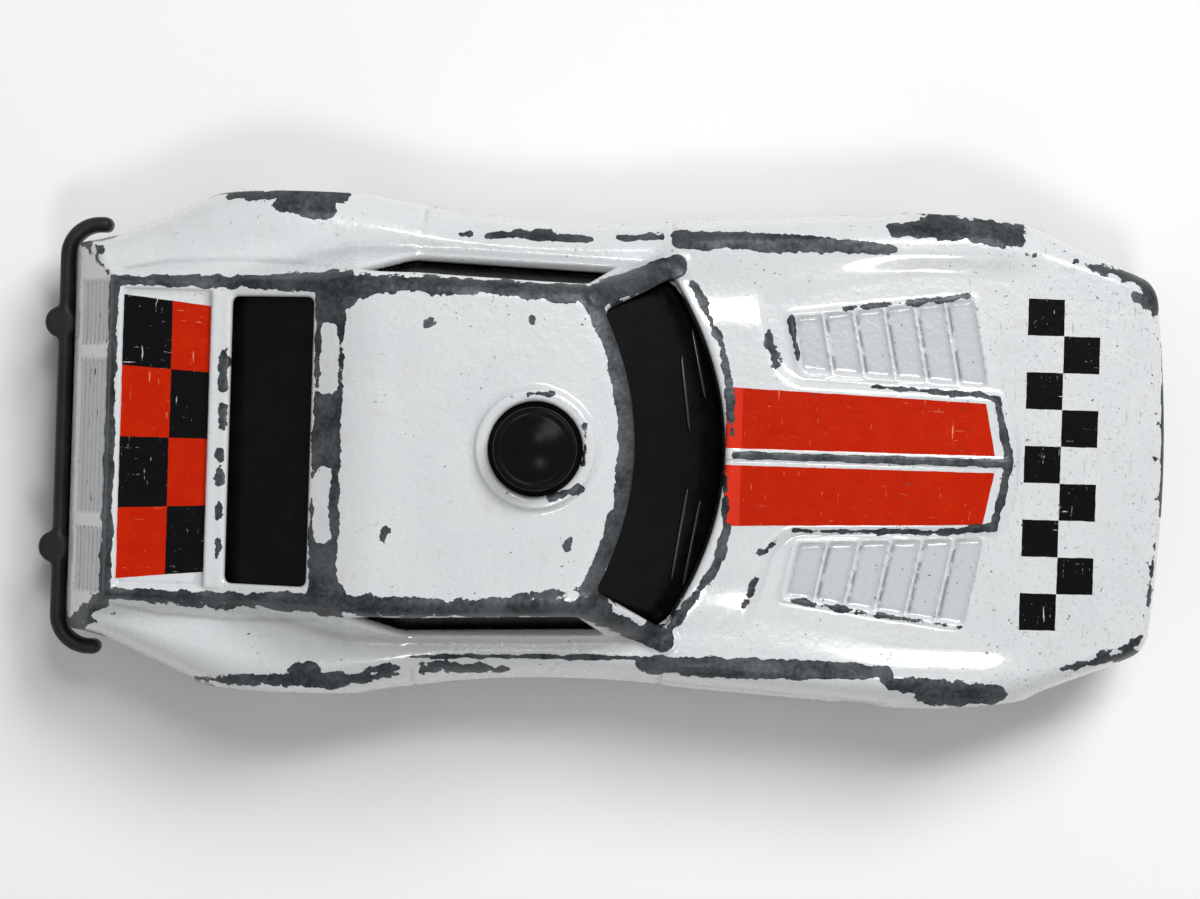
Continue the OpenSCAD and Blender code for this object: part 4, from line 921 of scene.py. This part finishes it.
def bare_metal(s):
    """Where the paint is gone: strokes of wear with a ragged edge, chips and specks."""
    ragged = s.noise(0.85, 3, 0.5) * 1.15 + s.noise(3.2, 3, 0.55) * 0.35
    worn = (s.attribute("wear") + ragged).above(0.0, 0.015)
    chips = s.noise(1.6, 3, 0.6).above(0.25, 0.008) * s.noise(0.25, 2).above(0.02, 0.05)
    specked = (s.noise(0.3, 2) + s.x.above(*SPECKED_X) * 0.12).above(0.05, 0.05)
    specks = s.noise(3.6, 2, 0.5).above(0.215, 0.012) * specked
    return worn.max(chips).max(specks * 0.9)


def paint_material():
    s = Surface("white_paint_on_zinc", Coat_Roughness=0.07)
    orange, black = prints(s)
    scratch = s.noise(0.9, 4, 0.7, (5, 0.5, 1, 0.6)).above(0.18, 0.02)
    scratch = scratch.max(s.noise(0.8, 4, 0.7, (0.6, 6, 1, 0.3)).above(0.19, 0.02))
    fleck = s.noise(2.3, 6, 0.75).above(0.19, 0.02)
    rubbed = s.noise(1.9, 5, 0.7).above(0.25, 0.02) * s.noise(0.35, 2).above(0.03, 0.05)
    paint = s.blend(orange * rubbed.inverse(), aged_white(s), orange_print(s, scratch, fleck))
    paint = s.blend(black * scratch.max(fleck).inverse(), paint, INK)
    bare = bare_metal(s)
    metal = s.blend((s.noise(3.0, 6, 0.75) + s.noise(0.45, 3)).above(0.02, 0.3), DARK_ZINC, LIGHT_ZINC)
    s.feed("Base Color", s.blend(bare, paint, metal))
    s.feed("Metallic", bare * 0.55)
    s.feed("Roughness", s.noise(1.4, 4, 0.6) * 0.14 + 0.27 + bare * 0.16 + black * 0.08)
    s.feed("Specular IOR Level", black.max(orange * 0.95).max(bare * 0.7) * -0.46 + 0.5)
    s.feed("Coat Weight", bare.max(black).max(orange) * -0.8 + 0.8)
    height = bare * -1.0 + s.noise(0.9, 3) * 1.0 + s.noise(2.6, 3) * 0.8
    s.relief(height + s.noise(9, 3) * 0.08 + scratch * -0.15, 0.05, 0.8)
    return s.material


def plastic_material(name, dark, light, rough, grain, shine=0.4):
    """Moulded plastic with faint mottling, dust and fine scratches."""
    s = Surface(name, Specular_IOR_Level=shine)
    colour = s.blend(s.noise(0.5, 4, 0.6).above(0.05, 0.3), dark, light)
    dust = s.noise(1.7, 6, 0.7).above(0.17, 0.08) * 0.3
    s.feed("Base Color", s.blend(dust, colour, tuple(min(1, c * 3 + 0.006) for c in light)))
    scratch = s.noise(0.8, 5, 0.7, (0.6, 6, 1, 0.5)).above(0.2, 0.03)
    s.feed("Roughness", s.noise(2.0, 4) * 0.2 + scratch * 0.12 + rough)
    s.relief(s.noise(3.0, 4) * 0.5 + s.noise(11, 2) * 0.2 - scratch * 0.3, grain, 0.7)
    return s.material


def metal_material(name, dark, light, rough):
    """Drawn or plated metal, slightly mottled."""
    s = Surface(name, Metallic=1.0)
    s.feed("Base Color", s.blend(s.noise(1.5, 5, 0.6).above(0.0, 0.35), dark, light))
    s.feed("Roughness", s.noise(4.0, 4) * 0.18 + rough)
    s.relief(s.noise(6.0, 3), 0.012, 0.5)
    return s.material


PAINT = paint_material()
SMOKE = plastic_material("smoked_plastic", (0.002, 0.002, 0.0024), (0.005, 0.005, 0.0055), 0.26, 0.008, 0.05)
# Wipers: the same smoked plastic as the moulding, but lighter in colour as a painted sheen, and glossier
WIPER_SHEEN = plastic_material("wiper_sheen_plastic", (0.012, 0.012, 0.013), (0.03, 0.03, 0.032), 0.2, 0.01, 0.45)
CHASSIS = plastic_material("chassis_plastic", (0.008, 0.008, 0.0085), (0.018, 0.018, 0.0185), 0.42, 0.03,
                           0.16)
INTERIOR = plastic_material("interior_plastic", (0.03, 0.03, 0.031), (0.05, 0.05, 0.052), 0.5, 0.03)
TYRE = plastic_material("tyre_plastic", (0.008, 0.008, 0.008), (0.018, 0.0175, 0.017), 0.6, 0.04, 0.18)
RIM = metal_material("rim_plating", (0.55, 0.56, 0.58), (0.72, 0.73, 0.75), 0.2)
WIRE = metal_material("axle_wire", (0.40, 0.41, 0.43), (0.56, 0.57, 0.58), 0.3)

body = dress(make_body(), "chassis", "paint", PAINT, "body_shell")
slim = body.modifiers.new("slim_inner_skin", "DECIMATE")
slim.vertex_group = "inner"
slim.ratio = INNER_KEPT

# Window moulding with the beacon, and the wipers: lines of their blades and arms in plan
GLASS_LOW, GLASS_REAR_LOW, GLASS_RISE_X, GLASS_RISE = 11.15, 12.96, (-12.5, -15.8), 0.55
GLASS_REAR_X, GLASS_REACH = LIP_X - 0.2, 0.1
GLASS_GRID = (((-25.2, 0.25), (10.4, 0)), ((0, 0.25), (12.8, 0)), ((10.8, 0.22), (19.6, 0)))
WIPERS = (((5.75, 8.2), (6.75, 3.6)), ((5.1, 6.4), (5.75, 1.5)),
          ((5.75, -2.2), (4.9, -8.2)), ((6.6, -3.0), (5.7, -8.6)))
WIPER_HALF, WIPER_RISE, WIPER_TAPER, WIPER_END = 0.1, 0.14, 12, 0.05
WIPER_SECTION = ((-1, -0.1), (-0.9, 0.6), (0, 1), (0.9, 0.6), (1, -0.1))
BEACON_FOOT, BEACON_EDGE_R, BEACON_CROWN, BEACON_GROOVE_DEEP = -1.2, 0.3, 0.5, 0.03
BEACON_GROOVE, BEACON_SHOULDER, CROWN_INSET, CROWN_END_R = (0.42, 0.5, 0.6), 0.25, 0.75, 0.2


def glass(x, y, z):
    f = cabin(x, y, z, CAVITY_LOW) + CABIN_WALL + GAP
    rising = np.where(x > GLASS_RISE_X[1], GLASS_LOW + (GLASS_RISE_X[0] - x) * GLASS_RISE, GLASS_REAR_LOW)
    low = np.where(x > GLASS_RISE_X[0], GLASS_LOW, rising)
    return meet(f, -(f + GLASS_T), low - z, GLASS_REAR_X - x)


def wiper(name, start, end, rows=24):
    """Low rounded bar lying on the windscreen."""
    t = np.linspace(0, 1, rows)[:, None]
    line = mix(np.array(start), np.array(end), t)
    across = np.array([start[1] - end[1], end[0] - start[0]])
    across = across / np.hypot(*across)
    taper = np.sqrt(np.clip(np.minimum(t, 1 - t) * WIPER_TAPER, WIPER_END, 1))
    points = []
    for side, rise in WIPER_SECTION:
        plan = line + across * side * WIPER_HALF * taper
        depth = (CABIN_WALL + GAP) * np.sqrt(1 + SCREEN_RUN ** 2 + (2 * SCREEN_CURVE * plan[:, 1:]) ** 2)
        high = COWL_H + (COWL_X - screen_line(plan[:, :1], plan[:, 1:]) - depth) / SCREEN_RUN
        points.append(np.hstack([plan, high + rise * WIPER_RISE]))
    n = len(points)
    faces = grid_faces(n, rows, round_columns=False)
    faces += [[j * rows for j in range(n)], [j * rows + rows - 1 for j in reversed(range(n))]]
    return mesh_object(name, np.concatenate(points), faces)


def lathe(name, profile, place, segments=96):
    """Solid of revolution about z; the profile runs from the axis to the axis."""
    profile = np.array(profile)
    turn = np.arange(segments) * math.tau / segments
    inner = profile[1:-1]
    ring = np.stack([np.outer(inner[:, 0], np.cos(turn)), np.outer(inner[:, 0], np.sin(turn)),
                     np.repeat(inner[:, 1:], segments, 1)], -1).reshape(-1, 3)
    points = np.concatenate([ring, [(0, 0, profile[0, 1]), (0, 0, profile[-1, 1])]]) + place
    rows, n = len(inner), segments
    faces = grid_faces(rows, n, round_rows=False)
    faces += [[rows * n, (i + 1) % n, i] for i in range(n)]
    faces += [[rows * n + 1, (rows - 1) * n + i, (rows - 1) * n + (i + 1) % n] for i in range(n)]
    return mesh_object(name, points, faces)


def arc(cx, cy, r, start, end, n):
    """Points of an arc in a profile, with angles in degrees."""
    turns = [math.radians(degrees) for degrees in np.linspace(start, end, n)]
    return [(cx + r * math.cos(turn), cy + r * math.sin(turn)) for turn in turns]


def make_beacon():
    """Drum with a groove inside its rounded edge and a crowned top; heights are from the roof."""
    top = cad_box[1][2] / MM - ROOF_H
    rim = top - BEACON_CROWN
    profile = [(0, BEACON_FOOT), (BEACON_R, BEACON_FOOT)]
    profile += arc(BEACON_R - BEACON_EDGE_R, rim - BEACON_SHOULDER, BEACON_EDGE_R, 0, 75, 5)
    outer, middle, crown_r = (BEACON_R - inset for inset in BEACON_GROOVE)
    profile += [(outer, rim), (middle, rim - BEACON_GROOVE_DEEP), (crown_r, rim)]
    radii = np.linspace(BEACON_R - CROWN_INSET, CROWN_END_R, 9)
    profile += [(r, top - BEACON_CROWN * (r / crown_r) ** 2) for r in radii]
    return lathe("beacon_drum", profile + [(0, top)], (BEACON_X, 0, ROOF_H))


moulding = cast("window_moulding", glass, [spaced(*stops) for stops in GLASS_GRID], GLASS_REACH)
dress(moulding, "chassis", "smoked_plastic", SMOKE, "window_insert")
for number, (start, end) in enumerate(WIPERS):
    dress(wiper(f"wiper_line_{number + 1}", start, end), "chassis", "smoked_plastic", WIPER_SHEEN, "window_insert")
dress(make_beacon(), "chassis", "smoked_plastic", SMOKE, "window_insert")

# Base: floor, bearings of the axles and bosses of the rivets. A box is even in y, so it starts at BEYOND.
BEYOND = -20
BASE_X, WELL_R, SEAT_H, BASE_REACH = (-33.75, 34.85), 0.15, 3.6, 0.08
BASE_GRID = (((-37.3, 0.16), (-31.6, 0.3), (33.8, 0.16), (36.3, 0)),
             ((0, 0.25), (14.9, 0)), ((1.9, 0.2), (9.2, 0)))
BEARING_HALF, BEARING_IN, BEARING_RISE, BEARING_R = 1.8, 8.29, 1.56, 0.25
BOSS_R, BOSS_EDGE, RIVET_HOLE_R, RIVET_SINK_R = 2.89, 0.2, 1.255, 1.935
BASE_BLEND, BUMPER_BLEND, UNDERSIDE_BLEND = 0.3, 0.2, 0.25
# Bumper: bar with wrapped corners, stubs, and the valance below it with its upstand
BUMPER_X, BUMPER_T, BUMPER_LOW, BUMPER_HIGH, BUMPER_R = -36.15, 1.0, 4.9, 7.3, 2.6
BUMPER_HALF, BUMPER_END_X, BUMPER_EDGE = 14.5, -33.25, 0.7
STUB_X, STUB_Y, STUB_R, STUB_LOW, STUB_HIGH = -35.95, 7.45, 1.05, 4.66, 7.35
STUB_EDGE, STUB_BLEND, SMALL_EDGE = 0.35, 0.25, 0.15
VALANCE_HALF, VALANCE_FRONT_X, UPSTAND_REAR_X, UPSTAND_FRONT_X, UPSTAND_TOP = 9.57, -31.85, -35.9, -35.15, 5.4
# Grille: back plate, apron, upright bars and round lamps with a dish
GRILLE_HALF, PLATE_REAR_X, PLATE_FRONT_X, PLATE_TOP, PLATE_EDGE = 9.4, 34.12, 35.0, 8.9, 0.1
APRON_REAR_X, APRON_FRONT_X, APRON_TOP, APRON_EDGE = 34.5, 35.88, 5.0, 0.25
BAR_PITCH, BAR_HALF, BARS_HALF, BAR_X, BAR_Z = GRILLE_HALF * 2 / 11, 0.4, 4.8, (34.4, 35.6), (4.3, 8.5)
LAMPS_Y, LAMP_H, LAMP_R, LAMP_X, DISH_X, DISH_R = (5.83, 8.08), 6.95, 1.03, (34.5, 35.77), 36.1, 0.62
# Underside: rear end, front end, half width and lowest point of the tunnel, sump and tank; two pipes
UNDER_BLOCKS = ((-15.16, 10.36, 2.26, 2.17), (18.36, 27.16, 3.2, 2.3), (-33.3, -30.5, 6.77, 2.3))
UNDER_TOP, PIPE_Y, PIPE_H, PIPE_R, PIPE_X = 3.2, 5.64, 2.8, 0.5, (-16.0, 11.2)


def bumper(x, a, z):
    corner_x, corner_y = BUMPER_X + BUMPER_R, BUMPER_HALF - BUMPER_R
    reach = np.hypot(np.minimum(x - corner_x, 0), np.maximum(a - corner_y, 0))
    reach = np.where((x > corner_x) & (a < corner_y), FAR, reach)
    path = slab(reach, BUMPER_R - BUMPER_T, BUMPER_R)
    end = np.hypot(np.maximum(x - BUMPER_END_X, 0), a - BUMPER_HALF + BUMPER_T / 2) - BUMPER_T / 2
    path = np.where(x > corner_x, end, path)
    bar = soft_max(path, slab(z, BUMPER_LOW, BUMPER_HIGH), BUMPER_EDGE)
    stub = disc(x - STUB_X, a - STUB_Y, z, STUB_R, STUB_LOW, STUB_HIGH, STUB_EDGE)
    valance = block(x, a, z, (BUMPER_X, BEYOND, FLOOR_LOW), (VALANCE_FRONT_X, VALANCE_HALF, FLOOR_TOP))
    high = (UPSTAND_FRONT_X, VALANCE_HALF, UPSTAND_TOP)
    upstand = block(x, a, z, (UPSTAND_REAR_X, BEYOND, FLOOR_LOW), high, SMALL_EDGE)
    return join(soft_min(bar, stub, STUB_BLEND), valance, upstand)


def grille(x, a, z):
    high = (PLATE_FRONT_X, GRILLE_HALF, PLATE_TOP)
    f = block(x, a, z, (PLATE_REAR_X, BEYOND, FLOOR_LOW), high, PLATE_EDGE)
    high = (APRON_FRONT_X, GRILLE_HALF, APRON_TOP)
    f = join(f, block(x, a, z, (APRON_REAR_X, BEYOND, FLOOR_LOW), high, APRON_EDGE))
    bar = np.abs(a - np.round(a / BAR_PITCH) * BAR_PITCH) - BAR_HALF
    f = join(f, meet(bar, a - BARS_HALF, slab(x, *BAR_X), slab(z, *BAR_Z)))
    for lamp_y in LAMPS_Y:
        p, q = a - lamp_y, z - LAMP_H
        dish = np.hypot(np.hypot(p, q), x - DISH_X) - DISH_R
        f = join(f, meet(disc(p, q, x, LAMP_R, *LAMP_X, SMALL_EDGE), -dish))
    return f


def underside(x, a, z):
    f = meet(np.hypot(a - PIPE_Y, z - PIPE_H) - PIPE_R, slab(x, *PIPE_X))
    for rear_x, front_x, half, low in UNDER_BLOCKS:
        f = join(f, block(x, a, z, (rear_x, BEYOND, low), (front_x, half, UNDER_TOP), SMALL_EDGE))
    return f


def base(x, y, z):
    a = np.abs(y)
    edge = BODY_HALF * line_at(WIDE, length_share(x)) - SILL_TUCK - WALL - GAP
    f = meet(a - edge, slab(x, *BASE_X), slab(z, FLOOR_LOW, FLOOR_TOP))
    for axle in AXLES:
        well = meet(np.abs(x - axle[0]) - axle[2] - ARCH_GAP, TRACK_IN - a)
        f = soft_max(f, -well, WELL_R)
    for axle in AXLES:
        low = (axle[0] - BEARING_HALF, BEARING_IN, SEAT_H)
        high = (axle[0] + BEARING_HALF, TRACK_IN, axle[2] + BEARING_RISE)
        f = soft_min(f, block(x, a, z, low, high, BEARING_R), BASE_BLEND)
    for post_x in POSTS_X:
        f = soft_min(f, disc(x - post_x, y, z, BOSS_R, SEAT_H, POST_LOW, BOSS_EDGE), BASE_BLEND)
    f = soft_min(f, bumper(x, a, z), BUMPER_BLEND)
    f = join(f, grille(x, a, z))
    f = soft_min(f, underside(x, a, z), UNDERSIDE_BLEND)
    for axle in AXLES:
        f = meet(f, BORE_R - np.hypot(x - axle[0], z - axle[2]))
    for post_x in POSTS_X:
        r = np.hypot(x - post_x, y)
        f = meet(f, RIVET_HOLE_R - r, join(RIVET_SINK_R - r, RIVET_TOP - z))
    return f


plate = cast("base_with_bumper", base, [spaced(*stops) for stops in BASE_GRID], BASE_REACH)
dress(plate, "chassis", "chassis_plastic", CHASSIS, "base_plate")

# Wheels: widths, and shares of the tyre's radius, the rim's radius or the width
WHEEL_WIDTHS = (("front", 4.2), ("rear", 4.4))
RIM_SHARE, RIM_WALL_SHARE, BEAD_SHARE = 0.68, 0.14, 0.12
CORNER_BEADS, STEP_BEADS, DIP_BEADS, WALL_DIPS = 1.5, 2.2, 2.5, (0.08, 0.1, 0.06)
GROOVE_DEEP, TREAD_BLOCKS, BLOCK_STEPS, TREAD_NEAR = 0.14, 40, 4, 0.05
TREAD_SHARES = (-0.2, -0.19, 0, 0.19, 0.2)
SPOKES, SPOKE_HALF, SPOKE_TOP_SHARE, SPOKE_BACK_SHARE, SPOKE_BOW = 5, (0.42, 0.62), 0.28, 0.08, 0.03
DISH_TOP_SHARE, DISH_BACK_SHARE, HUB_R, HUB_TOP_SHARE = 0.02, 0.1, 1.38, 0.34
RIM_INSET, DISC_INSET, RIM_STEP, RIM_REACH, RIM_MARGIN, RIM_SIDE_MARGIN = 0.02, 0.1, 0.17, 0.06, 0.4, 0.3
SPOKE_TOP_R, SPOKE_END_R, DISH_BLEND, HUB_BLEND, SPOKE_BLEND = 0.25, 0.1, 0.25, 0.3, 0.2


def tyre_profile(r, w, rim_r):
    """A tyre's section, from the inner bead over the tread to the outer bead."""
    e = w * BEAD_SHARE
    side, corner, step = w / 2, CORNER_BEADS * e, STEP_BEADS * e
    inner_dip, shoulder_dip, outer_dip = WALL_DIPS
    rows = [(rim_r, -side + e), (rim_r + e, -side), (rim_r + step, -side + inner_dip), (r - step, -side)]
    rows += arc(r - corner, -side + corner, corner, 270, 360, 7)
    rows += [(r, w * share) for share in TREAD_SHARES]
    rows += arc(r - corner, side - corner, corner, 0, 90, 7)
    rows += [(r - step, side), (r - DIP_BEADS * e, side - shoulder_dip)]
    rows += [(rim_r + step, side - outer_dip), (rim_r + e, side), (rim_r, side - e)]
    return np.array(rows)


def make_tyre(name, axle, w):
    r = axle[2]
    profile = tyre_profile(r, w, r * RIM_SHARE)
    n = TREAD_BLOCKS * BLOCK_STEPS
    turn = np.arange(n) * math.tau / n
    radius = np.repeat(profile[:, :1], n, 1)
    tread = np.abs(profile[:, 0] - r) < TREAD_NEAR
    radius[np.ix_(tread, np.arange(n) % BLOCK_STEPS == 0)] -= GROOVE_DEEP
    points = np.stack([radius * np.cos(turn), np.repeat(profile[:, 1:], n, 1), radius * np.sin(turn)], -1)
    return mesh_object(name, points.reshape(-1, 3) + axle, grid_faces(len(profile), n, flip=True))


def rim_field(axle, w, side):
    """Barrel, dished disc, spokes and hub of a rim."""
    b = axle[2] * RIM_SHARE

    def field(x, y, z):
        t = (y - axle[1]) * side
        p, q = x - axle[0], z - axle[2]
        rho = np.hypot(p, q)
        barrel = meet(rho - b + RIM_INSET, b - b * RIM_WALL_SHARE - rho, np.abs(t) - w / 2 + w * BEAD_SHARE)
        inside = rho - b + DISC_INSET
        dish = meet(inside, t - w * DISH_TOP_SHARE, -w * DISH_BACK_SHARE - t)
        angle = np.arctan2(q, p)
        turn = math.tau / SPOKES
        local = angle - np.round(angle / turn) * turn
        spoke = np.abs(np.sin(local) * rho) - mix(*SPOKE_HALF, clamp(rho / b))
        spoke = soft_max(spoke, t - w * SPOKE_TOP_SHARE + SPOKE_BOW * rho * rho, SPOKE_TOP_R)
        spoke = soft_max(spoke, meet(-w * SPOKE_BACK_SHARE - t, inside), SPOKE_END_R)
        hub = meet(rho - HUB_R, t - w * HUB_TOP_SHARE, -w / 2 + GAP - t)
        f = soft_min(soft_min(barrel, dish, DISH_BLEND), soft_min(spoke, hub, HUB_BLEND), SPOKE_BLEND)
        return meet(f, BORE_R - rho)
    return field


def make_rim(name, axle, w, side):
    reach = axle[2] * RIM_SHARE + RIM_MARGIN
    halves = (reach, w / 2 + RIM_SIDE_MARGIN, reach)
    grids = [at + spaced((-half, RIM_STEP), (half, 0)) for at, half in zip(axle, halves)]
    return cast(name, rim_field(axle, w, side), grids, RIM_REACH, mirror=False)


for end, width in WHEEL_WIDTHS:
    for name, side in (("left", 1), ("right", -1)):
        place = f"{end}_{name}"
        centre = JOINTS[f"wheel_{place}_spin"]
        tyre = make_tyre(f"tyre_{place}_tread", centre, width)
        dress(tyre, f"wheel_{place}", "tyre", TYRE, f"tyre_{place}")
        rim = make_rim(f"rim_{place}_spokes", centre, width, side)
        dress(rim, f"wheel_{place}", "rim_chrome", RIM, f"rim_{place}")

for node, material in (("front_axle", WIRE), ("rear_axle", WIRE), ("interior_tub", INTERIOR)):
    frame["nodes"][node].data.materials.clear()
    frame["nodes"][node].data.materials.append(material)

# Stage: floor, backdrop, lamps (place and size in metres, then watts), world and camera
STAGE_HALF, BACKDROP_R, BACKDROP_SOFT, FILL = 900, 150.0, 75.0, 0.22
LAMPS = (("key", (0.20, 0.28, 0.42), 0.24, 1.68), ("left", (0.05, 0.17, 0.46), 0.10, 0.38),
         ("right", (0.07, -0.19, 0.46), 0.10, 0.41))
CAMERA_H, CAMERA_TURN, CAMERA_SHIFT_Y, SENSOR_W = 289.0, math.radians(1.78), 0.1, 36
PHOTO_W, PIXELS_PER_MM, SCALE_H, CLIP_START = 1200, 15.2, 9, 10


def seen_directly(tree):
    """1 on rays from the camera, from glossy surfaces and through glass."""
    path = tree.nodes.new("ShaderNodeLightPath")
    kinds = ("Camera", "Glossy", "Transmission")
    camera_ray, glossy, through = (Signal(tree, path.outputs[f"Is {kind} Ray"]) for kind in kinds)
    return camera_ray.max(glossy).max(through)


def make_floor():
    """Pale floor that holds the shadow near the car and turns into a white backdrop further out."""
    s = Surface("floor", Roughness=0.9, Specular_IOR_Level=0.1)
    s.feed("Base Color", s.blend(s.noise(0.02, 3).above(0.0, 0.5), (0.96, 0.96, 0.96), (0.98, 0.98, 0.98)))
    far = (s.x * s.x + s.y * s.y).op("SQRT").above(BACKDROP_R, BACKDROP_SOFT) * seen_directly(s.tree)
    backdrop = s.node("Emission")
    blend = s.node("MixShader")
    for source, slot in zip((far.socket, s.shader.outputs[0], backdrop.outputs[0]), blend.inputs):
        s.tree.links.new(source, slot)
    s.tree.links.new(blend.outputs[0], s.tree.nodes["Material Output"].inputs["Surface"])
    corners = [(STAGE_HALF * x, STAGE_HALF * y, 0) for x, y in ((-1, -1), (1, -1), (1, 1), (-1, 1))]
    floor = mesh_object("floor", corners, [(0, 1, 2, 3)])
    floor.data.materials.append(s.material)


def make_lamp(name, place, size, watts):
    """Round lamp that points at the middle of the floor."""
    light = bpy.data.lights.new(name, "AREA")
    light.shape, light.size, light.energy = "DISK", size, watts
    lamp = bpy.data.objects.new(name, light)
    lamp.location = place
    x, y, z = place
    lamp.rotation_euler = (0, math.atan2(math.hypot(x, y), z), math.atan2(y, x))
    bpy.context.scene.collection.objects.link(lamp)


def make_world():
    world = bpy.data.worlds.new("studio")
    world.use_nodes = True
    sky = world.node_tree.nodes["Background"]
    sky.inputs["Color"].default_value = (1, 1, 1, 1)
    strength = seen_directly(world.node_tree) * (1 - FILL) + FILL
    world.node_tree.links.new(strength.socket, sky.inputs["Strength"])
    bpy.context.scene.world = world


def make_camera():
    """Camera straight above the car, at the photograph's scale at the height SCALE_H."""
    camera = bpy.data.objects.new("camera", bpy.data.cameras.new("camera"))
    camera.location = (0, CAMERA_SHIFT_Y * MM, CAMERA_H * MM)
    camera.rotation_euler = (0, 0, CAMERA_TURN)
    camera.data.sensor_width = SENSOR_W
    camera.data.lens = PIXELS_PER_MM * (CAMERA_H - SCALE_H) / PHOTO_W * SENSOR_W
    camera.data.clip_start = CLIP_START * MM
    bpy.context.scene.collection.objects.link(camera)
    bpy.context.scene.camera = camera


make_floor()
for lamp in LAMPS:
    make_lamp(*lamp)
make_world()
make_camera()
bpy.context.scene.view_settings.view_transform = "Standard"
